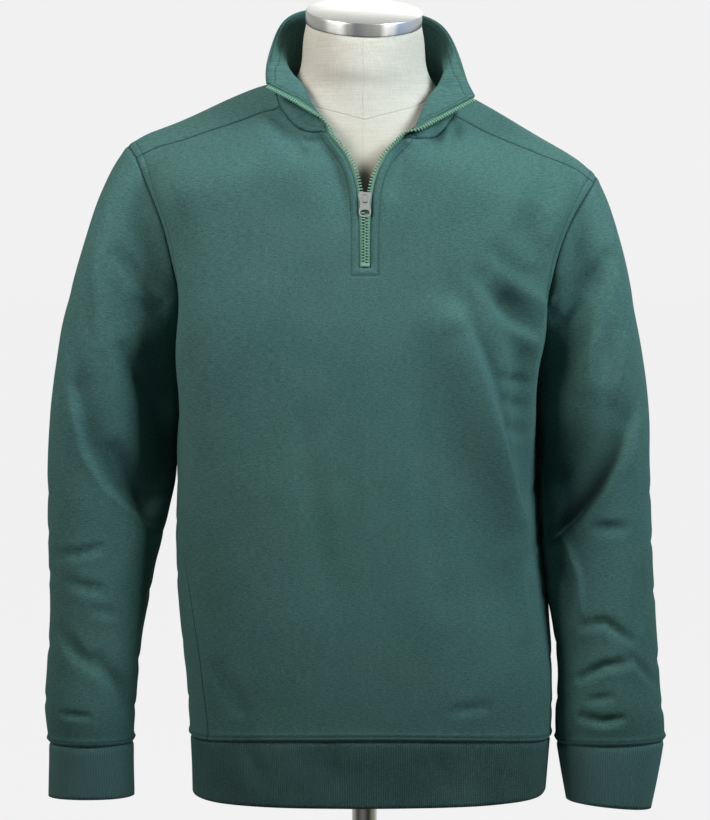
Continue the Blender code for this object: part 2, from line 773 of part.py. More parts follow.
def zip_path(surface, names, side, ways):
    """(point, normal, way out) along the zip's edge, from its end up to the collar's corner."""
    neighbours, outwards = opening_edge(surface, names, side)
    corner = place(COLLAR_TOP[0 if side == "left" else -1])
    sign = -1 if side == "left" else 1
    foot = place((sign * PLACKET_HALF, *LEVELS[ZIP_END][3]))
    chain = [min(neighbours, key=lambda v: (surface.vertices[v].co - foot).length)]
    previous = None
    while (surface.vertices[chain[-1]].co - corner).length > 2 * MM:
        here = surface.vertices[chain[-1]].co
        onwards = [v for v in neighbours[chain[-1]] if v != previous]
        onwards = [v for v in onwards if surface.vertices[v].co.z > here.z - 1 * MM]
        previous = chain[-1]
        chain.append(onwards[0])
    outwards[chain[0]] = outwards[chain[1]]
    path = []
    for a, b in zip(chain, chain[1:]):
        for i in range(TAPE_STEPS):
            share = i / TAPE_STEPS
            point = surface.vertices[a].co.lerp(surface.vertices[b].co, share)
            low = -ways[a] if a in ways and b in ways else surface.vertices[a].normal
            high = -ways[b] if a in ways and b in ways else surface.vertices[b].normal
            normal = low.lerp(high, share)
            path.append((point, normal.normalized(), outwards[a].lerp(outwards[b], share)))
    neckline = place(ZIP_EDGE[LAST_LEVEL][SIDES.index(side)])
    seam = min(range(len(path)), key=lambda i: (path[i][0] - neckline).length)
    return path, seam


def tape_solid(path, seam, side):
    """A flat strip beside the opening's edge, as far as the ends of the teeth.

    Beyond the neck seam, which is the path's point of that number, it lies between the
    collar's two layers.
    """
    sign = -1 if side == "left" else 1
    tape = bmesh.new()
    rings = []
    for i, (point, normal, out) in enumerate(path[:-2]):
        thickness = FLEECE if i < seam else 2 * COLLAR_PLY + PLY_GAP
        across = (out - normal * out.dot(normal)).normalized()
        top = point - normal * (thickness - TAPE_THICK) / 2 * MM
        near = top + across * TAPE_GAP * MM
        far = top + across * (TAPE_GAP + TAPE_WIDTH) * MM
        post = on_slider(0.0, 0.0, 5.0)
        room = POST_ROOM if abs(far.z - post.z) < POST_REACH * MM else CHAIN_GAP
        if far.x * sign < room * MM:
            far.x = room * MM * sign
        under = normal * TAPE_THICK * MM
        rings.append([tape.verts.new(p) for p in (near, far, far - under, near - under)])
    for low, high in zip(rings, rings[1:]):
        for i in range(4):
            j = (i + 1) % 4
            tape.faces.new((low[i], low[j], high[j], high[i]))
    for corner in rings[0]:
        corner.co.z += SEAM_GAP * MM
    tape.faces.new(rings[0])
    tape.faces.new(rings[-1][::-1])
    bmesh.ops.recalc_face_normals(tape, faces=tape.faces)
    mesh = bpy.data.meshes.new("tape")
    tape.to_mesh(mesh)
    tape.free()
    return mesh


# ---------------------------------------------------------------- dress form


def ring_loft(rings):
    """A closed body through rings of equally many points, with flat ends."""
    body = bmesh.new()
    loops = [[body.verts.new(point) for point in ring] for ring in rings]
    count = len(loops[0])
    for low, high in zip(loops, loops[1:]):
        for i in range(count):
            j = (i + 1) % count
            body.faces.new((low[i], low[j], high[j], high[i]))
    body.faces.new(loops[0][::-1])
    body.faces.new(loops[-1])
    bmesh.ops.recalc_face_normals(body, faces=body.faces)
    mesh = bpy.data.meshes.new("loft")
    body.to_mesh(mesh)
    body.free()
    return mesh


FORM_POINTS = 32


def form_ring(values):
    ring = row_of(FORM, values)
    middle_y = (ring["front"] + ring["back"]) / 2
    half_y = (ring["back"] - ring["front"]) / 2
    for i in range(FORM_POINTS):
        angle = math.tau * i / FORM_POINTS
        c, s = math.cos(angle), math.sin(angle)
        half_x = ring["right"] if c > 0 else ring["left"]
        x = half_x * math.copysign(abs(c) ** ring["round"], c)
        y = middle_y + half_y * math.copysign(abs(s) ** ring["round"], s)
        yield place((x, y, ring["z"] - x * ring["lean"]))


def form_tilt(share=1.0):
    """The way the neck's top lies: forwards, and a little to the right."""
    lean = Matrix.Rotation(CAP_LEAN, 3, "Y")
    return lean @ Matrix.Rotation(CAP_TILT * share, 3, "X")


def neck_ring(centre_y, height, radius, share):
    tilt = form_tilt(share)
    for i in range(FORM_POINTS):
        angle = math.tau * i / FORM_POINTS
        spoke = tilt @ Vector((math.cos(angle), math.sin(angle), 0.0)) * radius * MM
        yield place((CAP_CENTRE[0], centre_y, height)) + spoke


def build_form(group, linen, steel):
    rings = [list(form_ring(values)) for values in FORM_LEVELS]
    rings += [list(neck_ring(*values)) for values in NECK_RINGS]
    add_object("form_torso", ring_loft(rings), group, linen, smooth_angle=50)
    turned_cap(group, steel)
    pole_height = (HEM_LEVEL + FORM_LEVELS[0][4] - BASE_THICK) * MM - 2 * SEAM_GAP * MM
    middle = BASE_THICK * MM + SEAM_GAP * MM + pole_height / 2
    bpy.ops.mesh.primitive_cylinder_add(
        vertices=32, radius=POLE_RADIUS * MM, depth=pole_height, location=(0, 0, middle)
    )
    keep_new("pole", group, steel)
    stand_base(group, steel)


def keep_new(name, group, material, smooth_angle=35):
    """Names the object that an operator has just added and moves it to its collection."""
    obj = bpy.context.object
    obj.name = obj.data.name = name
    for other in list(obj.users_collection):
        other.objects.unlink(obj)
    group.objects.link(obj)
    obj.data.materials.append(material)
    obj.data.shade_smooth()
    obj.data.set_sharp_from_angle(angle=math.radians(smooth_angle))
    return obj


def turned_cap(group, steel):
    """The metal disc on the neck, square to the neck's lean."""
    axis = form_tilt() @ Vector((0, 0, 1))
    centre = place(CAP_CENTRE) - axis * CAP_THICK / 2 * MM
    bpy.ops.mesh.primitive_cylinder_add(
        vertices=48,
        radius=CAP_RADIUS * MM,
        depth=CAP_THICK * MM,
        location=centre,
        rotation=form_tilt().to_euler(),
    )
    cap = keep_new("neck_cap", group, steel)
    soften(cap, 1.2 * MM, 2)


def stand_base(group, steel):
    bpy.ops.mesh.primitive_cylinder_add(
        vertices=64,
        radius=BASE_RADIUS * MM,
        depth=BASE_THICK * MM,
        location=(0, 0, BASE_THICK / 2 * MM),
    )
    base = keep_new("stand_base", group, steel)
    soften(base, 2.5 * MM, 2)


def soften(obj, width, segments):
    bevel = obj.modifiers.new("edge", "BEVEL")
    bevel.width = width
    bevel.segments = segments
    bevel.limit_method = "ANGLE"
    bevel.angle_limit = math.radians(60)


# ---------------------------------------------------------------- slider and pull tab


def on_slider(across, out, up):
    """A point measured across the chain, out from its middle plane and up along it."""
    x0, y0, z0 = SLIDER_MIDDLE
    c, s = math.cos(SLIDER_SLOPE), math.sin(SLIDER_SLOPE)
    return place((x0 + across, y0 - out * c + up * s, z0 + out * s + up * c))


def mirrored(half, tip=None):
    """A closed outline from its right half, listed downwards or upwards."""
    middle = [] if tip is None else [(0.0, tip)]
    return half + middle + [(-x, z) for x, z in reversed(half)]


def prism(near, far):
    """A closed body between two outlines of as many points."""
    body = bmesh.new()
    near = [body.verts.new(point) for point in near]
    far = [body.verts.new(point) for point in far]
    for i in range(len(near)):
        j = (i + 1) % len(near)
        body.faces.new((near[i], near[j], far[j], far[i]))
    body.faces.new(near[::-1])
    body.faces.new(far)
    bmesh.ops.recalc_face_normals(body, faces=body.faces)
    mesh = bpy.data.meshes.new("prism")
    body.to_mesh(mesh)
    body.free()
    return mesh


def slider_plate(near, far):
    outline = mirrored(PLATE_OUTLINE)
    return prism(
        [on_slider(x, near, up) for x, up in outline],
        [on_slider(x, far, up) for x, up in outline],
    )


def slider_bail(face):
    """The strap that arches over the front plate, and that the pull hangs from."""
    low, high = BAIL_ENDS
    middle, half = (low + high) / 2, (high - low) / 2
    outer, inner = [], []
    steps = 10
    for i in range(steps + 1):
        angle = math.pi * i / steps
        along = math.copysign(abs(math.cos(angle)) ** 0.6, math.cos(angle))
        rise = math.sin(angle) ** 0.6 if 0 < i < steps else 0.0
        outer.append((middle - along * half, face + rise * BAIL_RISE))
        inner.append(
            (middle - along * (half - BAIL_THICK), face + rise * (BAIL_RISE - BAIL_THICK))
        )
    outer = [(low, face - 0.5)] + outer + [(high, face - 0.5)]
    inner = [(low + BAIL_THICK, face - 0.5)] + inner + [(high - BAIL_THICK, face - 0.5)]
    outline = outer + inner[::-1]
    return prism(
        [on_slider(-BAIL_WIDTH / 2, out, up) for up, out in outline],
        [on_slider(BAIL_WIDTH / 2, out, up) for up, out in outline],
    )


def slider_post(reach):
    """The post between the plates, which parts the two rows of teeth."""
    outline = mirrored([(0.3, 3.4), (POST_WIDTH / 2, 5.0), (POST_WIDTH / 2, 7.0)])
    return prism(
        [on_slider(x, -reach, up) for x, up in outline],
        [on_slider(x, reach, up) for x, up in outline],
    )


def join_solids(obj, others):
    """Unites solids with this one, for good."""
    for other in others:
        union = obj.modifiers.new("join", "BOOLEAN")
        union.operation = "UNION"
        union.solver = "EXACT"
        union.object = other
    bpy.context.view_layer.update()
    joined = evaluated_mesh(obj)
    obj.modifiers.clear()
    obj.data = joined
    for other in others:
        bpy.data.objects.remove(other)


def build_slider(group, metal):
    inner = PLATE_GAP / 2
    outer = inner + PLATE_THICK
    slider = add_object("zip_slider", slider_plate(inner, outer), group, metal)
    others = [
        add_object("slider_back", slider_plate(-outer, -inner), group, metal),
        add_object("slider_post", slider_post(outer - 0.4), group, metal),
        add_object("slider_bail", slider_bail(outer), group, metal),
    ]
    join_solids(slider, others)
    slider.data.name = "zip_slider"


def build_pull(group, metal):
    """A flat pull: a bar in the bail, an eye round the bail, and a round end with a hole."""
    shape = bpy.data.curves.new("zip_pull", "CURVE")
    shape.dimensions = "2D"
    shape.fill_mode = "BOTH"
    shape.extrude = PULL_THICK / 2 * MM
    half, top, bottom = PULL_EYE
    hole_x, hole_z, hole_middle = PULL_HOLE
    hole = []
    for i in range(16):
        angle = math.tau * i / 16
        c, s = math.cos(angle), math.sin(angle)
        hole.append(
            (
                hole_x * math.copysign(abs(c) ** 0.8, c),
                hole_middle + hole_z * math.copysign(abs(s) ** 0.8, s),
            )
        )
    eye = [(-half, top), (half, top), (half, bottom), (-half, bottom)]
    for loop in (mirrored(PULL_OUTLINE, PULL_TIP), eye, hole):
        spline = shape.splines.new("POLY")
        spline.points.add(len(loop) - 1)
        spline.use_cyclic_u = True
        for point, (x, z) in zip(spline.points, loop):
            point.co = (x * MM, z * MM, 0.0, 1.0)
    flat = bpy.data.objects.new("zip_pull_outline", shape)
    group.objects.link(flat)
    bpy.context.view_layer.update()
    mesh = evaluated_mesh(flat)
    bpy.data.objects.remove(flat)
    weld = bmesh.new()
    weld.from_mesh(mesh)
    bmesh.ops.remove_doubles(weld, verts=weld.verts, dist=0.01 * MM)
    weld.to_mesh(mesh)
    weld.free()
    pull = add_object("zip_pull", mesh, group, metal)
    out, up = PULL_AXIS
    pull.location = on_slider(0.0, out, up)
    pull.rotation_euler = (math.radians(90), 0, 0)


# ---------------------------------------------------------------- the whole part


def build_garment(group, knit, ribbing, tape):
    surface, names = draped_surface(build_cage())
    press_folds(surface)
    for name in names:
        material = ribbing if name.startswith(("cuff", "hem")) else knit
        thick = RIB if material == ribbing else FLEECE
        if name == "collar":
            thick = COLLAR_PLY
        mesh = panel_wall(surface, names.index(name), 0.0, thick, curls=name == "collar")
        add_object(name, mesh, group, material, smooth_angle=60)
    inner = COLLAR_PLY + PLY_GAP
    facing = panel_wall(surface, names.index("collar"), inner, inner + COLLAR_PLY, curls=True)
    add_object("collar_facing", facing, group, knit, smooth_angle=60)
    collar_faces = [p for p in surface.polygons if p.material_index == names.index("collar")]
    ways = curled_ways(surface, collar_faces)
    for side in SIDES:
        mesh = tape_solid(*zip_path(surface, names, side, ways), side)
        add_object("zip_tape_" + side, mesh, group, tape)


def main():
    clear_scene()
    sweatshirt = collection("quarter_zip_sweatshirt")
    stand = collection("dress_form")
    knit = finish("green_fleece", (0.055, 0.150, 0.132), 0.92)
    ribbing = finish("green_rib", (0.040, 0.110, 0.098), 0.92)
    tape = finish("zip_tape", (0.130, 0.300, 0.210), 0.80)
    nickel = finish("zip_metal", (0.60, 0.60, 0.57), 0.35, 1.0)
    linen = finish("form_linen", (0.72, 0.68, 0.58), 0.95)
    steel = finish("brushed_steel", (0.62, 0.61, 0.59), 0.32, 1.0)
    build_garment(sweatshirt, knit, ribbing, tape)
    build_slider(sweatshirt, nickel)
    build_pull(sweatshirt, nickel)
    build_form(stand, linen, steel)


main()
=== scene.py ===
import math

import bmesh
import bpy
import numpy as np
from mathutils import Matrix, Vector, noise
from mathutils.kdtree import KDTree


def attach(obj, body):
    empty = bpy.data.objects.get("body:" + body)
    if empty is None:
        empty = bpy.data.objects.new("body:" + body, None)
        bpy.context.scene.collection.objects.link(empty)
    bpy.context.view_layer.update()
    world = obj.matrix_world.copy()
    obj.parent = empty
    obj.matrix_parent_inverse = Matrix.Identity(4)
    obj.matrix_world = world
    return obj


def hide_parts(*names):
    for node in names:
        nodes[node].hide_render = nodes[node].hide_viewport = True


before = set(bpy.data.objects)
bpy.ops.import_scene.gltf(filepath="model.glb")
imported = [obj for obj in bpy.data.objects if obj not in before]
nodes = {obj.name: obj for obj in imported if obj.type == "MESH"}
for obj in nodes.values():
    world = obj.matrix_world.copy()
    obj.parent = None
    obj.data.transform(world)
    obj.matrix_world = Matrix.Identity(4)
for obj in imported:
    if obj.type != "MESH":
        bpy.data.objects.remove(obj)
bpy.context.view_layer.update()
mainBody = "sweatshirt_on_form"
mm = 0.001
scene = bpy.context.scene
for obj in bpy.context.selected_objects:
    obj.select_set(False)

# Helpers. Arrays of points hold millimetres throughout.


def pointsOf(obj):
    points = np.empty(len(obj.data.vertices) * 3)
    obj.data.vertices.foreach_get("co", points)
    return points.reshape(-1, 3) / mm


def normalsOf(obj):
    normals = np.empty(len(obj.data.vertices) * 3)
    obj.data.vertices.foreach_get("normal", normals)
    return normals.reshape(-1, 3)


def movePoints(obj, points):
    obj.data.vertices.foreach_set("co", (points * mm).ravel())
    obj.data.update()


def writeValue(obj, name, values):
    layer = obj.data.attributes.new(name, "FLOAT", "POINT")
    layer.data.foreach_set("value", np.asarray(values, float))


def unit(rows):
    return rows / np.maximum(np.linalg.norm(rows, axis=1), 1e-9)[:, None]


def between(a, b, share):
    return a * (1 - share) + b * share


def smoothStep(values, low, high):
    share = np.clip((values - low) / (high - low), 0, 1)
    return share * share * (3 - 2 * share)


def bell(values):
    return np.exp(-(values**2))


def lengthAlong(points):
    steps = np.linalg.norm(np.diff(points, axis=0), axis=1)
    return np.concatenate([[0], np.cumsum(steps)])


def around(rim):
    return zip(rim, rim[1:] + rim[:1])


def treeOf(points):
    tree = KDTree(len(points))
    for i, point in enumerate(points):
        tree.insert(point, i)
    tree.balance()
    return tree


def addObject(name, mesh):
    obj = bpy.data.objects.new(name, mesh)
    scene.collection.objects.link(obj)
    return obj


def shellOf(nodeName, weld):
    shell = bmesh.new()
    shell.from_mesh(nodes[nodeName].data)
    bmesh.ops.remove_doubles(shell, verts=shell.verts, dist=weld * mm)
    shell.normal_update()
    return shell


def meshFrom(shell, name):
    mesh = bpy.data.meshes.new(name)
    shell.to_mesh(mesh)
    shell.free()
    return mesh


def applyModifiers(obj):
    bpy.context.view_layer.objects.active = obj
    obj.select_set(True)
    for modifier in list(obj.modifiers):
        bpy.ops.object.modifier_apply(modifier=modifier.name)
    obj.select_set(False)


def subdivide(obj, levels):
    smooth = obj.modifiers.new("smooth", "SUBSURF")
    smooth.levels = levels
    smooth.render_levels = levels
    applyModifiers(obj)


# Cloth sheets. Each starts as one skin of its own solid.

clothSetup = {
    "levels": 3,  # subdivisions
    "weld": 0.02,
    "rimEdge": 3.4,  # a wall's end faces have an edge this short
    "rimSlender": 1.6,  # and a next edge this many times as long
    "touching": 1.3,  # rims of neighbours lie this near before the subdivision
    "meeting": 2.6,  # and this near after it
    "sharpest": -0.72,  # a rim whose cosine is above this keeps its corner
    "opposed": -0.3,  # normals further apart than this stay as they are
}

pieceThickness = {
    "front": 2.0, "back": 2.0, "sleeve_left": 2.0, "sleeve_right": 2.0,
    "collar": 1.5, "collar_facing": 1.5,
    "cuff_left": 2.4, "cuff_right": 2.4, "hem_band": 2.4,
}  # fmt: skip
ribPieces = ("cuff_left", "cuff_right", "hem_band")
neckBack = 20 * mm  # the collar's skins are told apart behind this


def skinsOf(sheet):  # the wall's skins without its end faces, smallest first
    wall = set()
    for face in sheet.faces:
        lengths = sorted(edge.calc_length() for edge in face.edges)
        slender = lengths[1] >= clothSetup["rimSlender"] * lengths[0]
        if lengths[0] > clothSetup["rimEdge"] * mm or not slender:
            wall.add(face)
    skins = []
    while wall:
        stack = [wall.pop()]
        skin = []
        while stack:
            face = stack.pop()
            skin.append(face)
            for edge in face.edges:
                for other in edge.link_faces:
                    if other in wall:
                        wall.discard(other)
                        stack.append(other)
        skins.append(skin)
    return sorted(skins, key=lambda skin: sum(face.calc_area() for face in skin))


def squareness(edge):  # of the four-sided face that the triangles beside an edge would make
    a, b = edge.verts
    c, d = ([v for v in face.verts if v not in edge.verts][0] for face in edge.link_faces)
    ring = [a.co, c.co, b.co, d.co]
    worst = 0
    for i in range(4):
        before = ring[i - 1] - ring[i]
        after = ring[(i + 1) % 4] - ring[i]
        worst = max(worst, abs(before.angle(after, 0) - math.pi / 2))
    return worst


# Joins the triangles in twos, each with its best neighbour, and frees those left over by swaps.
def pairTriangles(sheet):
    sheet.faces.index_update()
    partner = {}
    inner = [edge for edge in sheet.edges if len(edge.link_faces) == 2]
    score = {edge: squareness(edge) for edge in inner}
    for edge in sorted(inner, key=score.get):
        f, g = edge.link_faces
        if f not in partner and g not in partner:
            partner[f], partner[g] = (g, edge), (f, edge)
    for start in sheet.faces:
        if start in partner:
            continue
        before = {start: None}
        queue = [start]
        end = None
        while queue and end is None:
            face = queue.pop(0)
            for edge in sorted(face.edges, key=lambda e: score.get(e, 9)):
                if edge not in score:
                    continue
                other = [f for f in edge.link_faces if f is not face][0]
                if other in before:
                    continue
                before[other] = (face, edge)
                if other not in partner:
                    end = other
                    break
                mate = partner[other][0]
                if mate not in before:
                    before[mate] = (other, None)
                    queue.append(mate)
        while end is not None and before[end] is not None:
            face, edge = before[end]
            partner[end], partner[face] = (face, edge), (end, edge)
            end = before[face][0] if before[face] else None
    joined = {edge for _, edge in partner.values() if edge is not None}
    bmesh.ops.dissolve_edges(sheet, edges=list(joined), use_verts=False)


def outwardness(skin):
    behind = [face for face in skin if face.calc_center_median().y > neckBack]
    return sum(face.normal.y * face.calc_area() for face in behind)


def oneSkin(nodeName):
    sheet = shellOf(nodeName, clothSetup["weld"])
    skins = skinsOf(sheet)[-2:]
    if nodeName.startswith("collar"):  # what shows of the facing faces the neck
        skins.sort(key=outwardness, reverse=nodeName == "collar_facing")
    kept = set(skins[-1])
    bmesh.ops.delete(sheet, geom=[f for f in sheet.faces if f not in kept], context="FACES")
    pairTriangles(sheet)
    return addObject(nodeName + "Cloth", meshFrom(sheet, nodeName + "Cloth"))


def rimLoops(obj):  # corners in order with the cloth on the left, one list for each closed rim
    mesh = bmesh.new()
    mesh.from_mesh(obj.data)
    follow = {}
    for edge in mesh.edges:
        if len(edge.link_loops) == 1:
            loop = edge.link_loops[0]
            follow[loop.vert.index] = loop.link_loop_next.vert.index
    mesh.free()
    loops = []
    while follow:
        first, after = follow.popitem()
        loop = [first]
        while after != first:
            loop.append(after)
            after = follow.pop(after)
        loops.append(loop)
    return loops


corners = {}


# Keeps sharp the corners where pieces meet, and those of the zip's slot and the wings.
def keepCorners():
    loops = {name: rimLoops(obj) for name, obj in sheets.items()}
    points = {name: pointsOf(obj) for name, obj in sheets.items()}
    for name, own in points.items():
        others = [
            (other, points[other][v])
            for other in sheets if other not in (name, "collar_facing")
            for rim in loops[other] for v in rim
        ]  # fmt: skip
        places = np.array([place for _, place in others])
        sharp = np.zeros(len(own))
        for rim in loops[name]:
            near = []
            for v in rim:
                away = np.linalg.norm(places - own[v], axis=1)
                close = np.flatnonzero(away < clothSetup["touching"])
                near.append({others[i][0] for i in close})
            for i, v in enumerate(rim):
                after = (i + 1) % len(rim)
                ways = unit(own[[rim[i - 1], rim[after]]] - own[v])
                turns = ways[0] @ ways[1] > clothSetup["sharpest"]
                if name == "collar_facing":
                    sharp[v] = turns
                elif near[i]:
                    sharp[v] = len(near[i]) > 1 or set() in (near[i - 1], near[after])
                else:
                    sharp[v] = turns
        corners[name] = own[sharp > 0]
        writeValue(sheets[name], "crease_vert", sharp)


# Folds. Each row is a line across the cloth, its half width (or the one to its left and the one
# to its right), and how far it stands out, or sinks below zero. Lines on the front and back run
# in (x, z), those on a side in (y, z).

frontFolds = [
    ([(-86, 884), (-76, 866), (-62, 843)], (6, 12), -5),  # beside the collar
    ([(-73, 871), (-56, 852), (-39, 855)], 5, -2.5),
    ([(-48, 856), (-30, 833), (-20, 804), (-18, 780)], (6, 18), -4),  # along the zip's left edge
    ([(46, 864), (32, 840), (25, 808)], (15, 5), -4),  # and its right one
    ([(72, 868), (66, 846)], 8, -4),
    ([(86, 872), (91, 846)], 6, -2.6),
    ([(-186, 799), (-177, 771), (-173, 735)], 9, -1.5),  # chest, by the left armhole
    ([(172, 796), (160, 762), (163, 730)], 17, -5.5),  # and by the right one
    ([(124, 742), (150, 722), (177, 703)], (14, 7), -3.4),
    ([(112, 716), (136, 688), (172, 661)], (18, 8), -4.4),
    # the long right drape
    ([(92, 675), (110, 628), (126, 568), (140, 513), (158, 462)], (7, 34), 12.5),
    ([(134, 690), (152, 640), (159, 580), (168, 505)], 16, -9),
    ([(156, 482), (149, 456), (153, 417), (163, 378)], (6, 16), 4),
    ([(131, 622), (164, 616)], 5, -2.6),
    ([(136, 600), (164, 592)], 5, -2.4),
    ([(138, 572), (166, 566)], 5, -2.8),
    ([(87, 300), (118, 303)], 5, -1.5),
    ([(-62, 584), (-47, 487), (-34, 410)], 14, -1.2),  # belly
    ([(53, 603), (59, 507), (73, 409)], 13, -1.2),
    ([(-144, 339), (-135, 320), (-123, 301)], 8, -2.6),
    ([(-112, 262), (-106, 236)], 9, -1.6),  # the hem band, drawn in
    ([(-34, 256), (-28, 233)], 12, -1.6),
    ([(69, 254), (79, 231)], 10, -1.4),
    ([(132, 244), (140, 224)], 9, -1.2),
    ([(-240, 741), (-217, 716), (-197, 696)], 8, -3.4),  # left sleeve, from the armhole down
    ([(-221, 696), (-197, 681)], 6, -2.2),
    ([(-236, 648), (-220, 617), (-202, 583)], 9, -3.2),
    ([(-266, 746), (-261, 697), (-257, 653)], 10, 2.2),
    ([(-287, 667), (-282, 629), (-284, 599)], 9, -1.8),
    ([(-281, 606), (-269, 552), (-250, 518), (-230, 497), (-208, 474)], (24, 5), -7),  # its elbow
    ([(-264, 545), (-243, 508), (-222, 484)], 6, 2.2),
    ([(-246, 549), (-226, 512), (-212, 492)], (12, 5), -3),
    ([(-305, 444), (-276, 449), (-259, 454)], 4, -2.8),
    ([(-291, 419), (-272, 414), (-257, 411)], 5, -2.4),
    ([(-267, 392), (-243, 387)], 4, -1.6),
    ([(-301, 369), (-281, 346), (-267, 335)], 7, -2.6),
    ([(-263, 342), (-243, 314), (-235, 287)], 8, -3),
    ([(-299, 288), (-273, 286)], 4, -1.6),
    ([(233, 739), (205, 713), (183, 690)], (16, 6), -6),  # right sleeve, from the armhole down
    ([(208, 691), (187, 673)], 6, -3),
    ([(229, 692), (222, 648), (217, 614)], 9, 2.4),
    ([(241, 668), (235, 627)], 9, -2),
    # its deep elbow fold
    ([(256, 572), (242, 539), (227, 511), (206, 482), (186, 460), (172, 446)], (5, 32), -7),
    ([(256, 660), (252, 628), (246, 600)], (3, 6), 1.5),
    ([(271, 580), (267, 552), (261, 530)], (3, 6), 1.6),
    ([(226, 664), (217, 634)], 4, 1.2),
    ([(200, 463), (211, 425), (213, 392)], 3.5, 1.5),
    ([(188, 646), (186, 606), (183, 560), (180, 512)], 9, -3.2),  # its inner side, behind the body
    ([(-206, 632), (-197, 596), (-200, 550), (-204, 500)], (16, 22), -8),  # the left one's
    ([(202, 527), (190, 503)], 7, -2.2),
    ([(228, 474), (255, 473)], 5, -3),
    ([(192, 450), (203, 418), (203, 384)], 6, -2.2),
    ([(275, 422), (272, 379)], 7, -2),
    ([(216, 376), (237, 380), (262, 361)], 5, -3),
    ([(213, 323), (235, 336), (259, 340)], 5, -3.6),
    ([(258, 351), (282, 323), (291, 314)], 4, -2),
    ([(222, 302), (243, 306)], 4, -2),
    ([(215, 285), (235, 281), (253, 284)], 5, -3),
]

backFolds = [
    ([(-150, 780), (-128, 730), (-122, 670)], 11, -3),  # shoulder blades
    ([(146, 772), (126, 722), (118, 665)], 12, -3),
    ([(-60, 850), (-10, 838), (48, 848)], 9, -2.5),  # under the collar
    ([(-168, 640), (-120, 585), (-92, 520)], 10, -3.4),
    ([(160, 640), (118, 578), (96, 500)], 10, -3.6),
    ([(-178, 560), (-140, 470), (-128, 390)], 9, 3.2),
    ([(170, 548), (138, 466), (124, 380)], 9, 3.4),
    ([(-70, 560), (-20, 520), (36, 528)], 12, -2.4),  # small of the back
    ([(-84, 470), (-22, 440), (50, 452)], 11, -2.6),
    ([(-52, 398), (4, 372), (70, 384)], 10, -2.2),
    ([(-120, 352), (-104, 312), (-100, 282)], 8, -2.4),
    ([(110, 350), (98, 318), (96, 284)], 8, -2.2),
    ([(20, 330), (24, 282)], 9, -1.6),
    ([(-70, 256), (-66, 226)], 10, -1.5),
    ([(30, 256), (34, 226)], 11, -1.5),
    ([(120, 250), (118, 222)], 9, -1.4),
    ([(-246, 735), (-222, 706), (-202, 676)], 9, -3.2),  # left sleeve
    ([(-272, 655), (-246, 610), (-224, 586)], 8, -2.8),
    ([(-300, 560), (-276, 520), (-244, 500)], 7, -3.2),
    ([(-306, 505), (-280, 476), (-240, 462)], 6, -3.4),
    ([(-300, 440), (-268, 424), (-236, 426)], 5, -2.6),
    ([(-296, 372), (-266, 352), (-242, 356)], 6, -2.4),
    ([(-288, 306), (-262, 296), (-246, 300)], 5, -2.2),
    ([(232, 722), (210, 696), (190, 668)], 9, -3.4),  # right sleeve
    ([(252, 640), (226, 604), (204, 582)], 8, -2.8),
    ([(276, 548), (248, 512), (214, 492)], 7, -3.4),
    ([(282, 490), (252, 462), (212, 452)], 6, -3.2),
    ([(282, 420), (250, 404), (214, 408)], 5, -2.8),
    ([(280, 352), (250, 334), (220, 340)], 6, -2.6),
    ([(272, 300), (244, 288), (218, 294)], 5, -2.2),
]

leftFolds = [
    ([(-20, 700), (6, 652), (10, 600)], 9, -2.6),  # the left sleeve's outer side
    ([(30, 560), (2, 520), (-20, 502)], 7, -3.0),
    ([(28, 500), (0, 470), (-26, 462)], 6, -3.2),
    ([(26, 436), (-4, 420), (-34, 424)], 5, -2.4),
    ([(20, 372), (-8, 350), (-36, 352)], 6, -2.2),
    ([(14, 306), (-10, 296), (-38, 300)], 5, -2.0),
]

rightFolds = [
    ([(-16, 690), (10, 640), (8, 590)], 9, -2.6),  # the right sleeve's outer side
    ([(34, 540), (4, 512), (-24, 500)], 7, -3.2),
    ([(30, 486), (2, 458), (-30, 452)], 6, -3.0),
    ([(26, 420), (-6, 402), (-36, 408)], 5, -2.6),
    ([(22, 350), (-6, 334), (-36, 340)], 6, -2.4),
    ([(14, 296), (-10, 288), (-38, 292)], 5, -2.0),
]

viewsOfFolds = [  # rows, the axis across, the way the cloth faces, strength
    (frontFolds, 0, (0, -1, 0), 2.1),
    (backFolds, 0, (0, 1, 0), 2.1),
    (leftFolds, 1, (-1, 0, 0), 0.8),
    (rightFolds, 1, (1, 0, 0), 0.8),
]

# Painted shade, deep in the folds and on the sleeves' inner sides behind the body: piece, the line seen
# from the front, width, how dark.
elbowRight = [(258, 582), (244, 540), (229, 511), (208, 481), (187, 459), (170, 443)]
elbowLeft = [(-276, 600), (-262, 552), (-244, 518), (-226, 494), (-208, 474)]
paintedFoldShades = [
    ("sleeve_right", elbowRight, (5, 16), 0.92),
    ("sleeve_right", [(174, 590), (178, 540), (182, 500), (182, 465)], 22, 0.55),
    ("sleeve_right", [(216, 470), (238, 474), (250, 473)], 5, 0.3),
    ("sleeve_left", elbowLeft, (13, 8), 0.36),
    ("sleeve_left", [(-202, 590), (-198, 550), (-203, 505)], 15, 0.4),
    ("front", [(128, 668), (142, 620), (150, 570), (158, 515)], 15, 0.16),
    ("front", [(122, 738), (146, 716), (170, 700)], 8, 0.22),
]

foldSetup = {
    "facing": (0.12, 0.62),  # a fold fades where the cloth turns from its view, between these
    "rebound": 0.32,  # the shallow swell beside each fold
    "reboundReach": 2.4,
    "ends": 0.35,  # what is left of it at its ends
    "wide": (1.5, 0.011),  # height and pitch of the knit's slow unevenness
    "small": (0.55, 0.035),
}

# The painted fold shade fades as the cloth turns from the front, and toward its ends.
paintedShadeSetup = {"facing": (0.05, 0.4), "ends": 0.6}


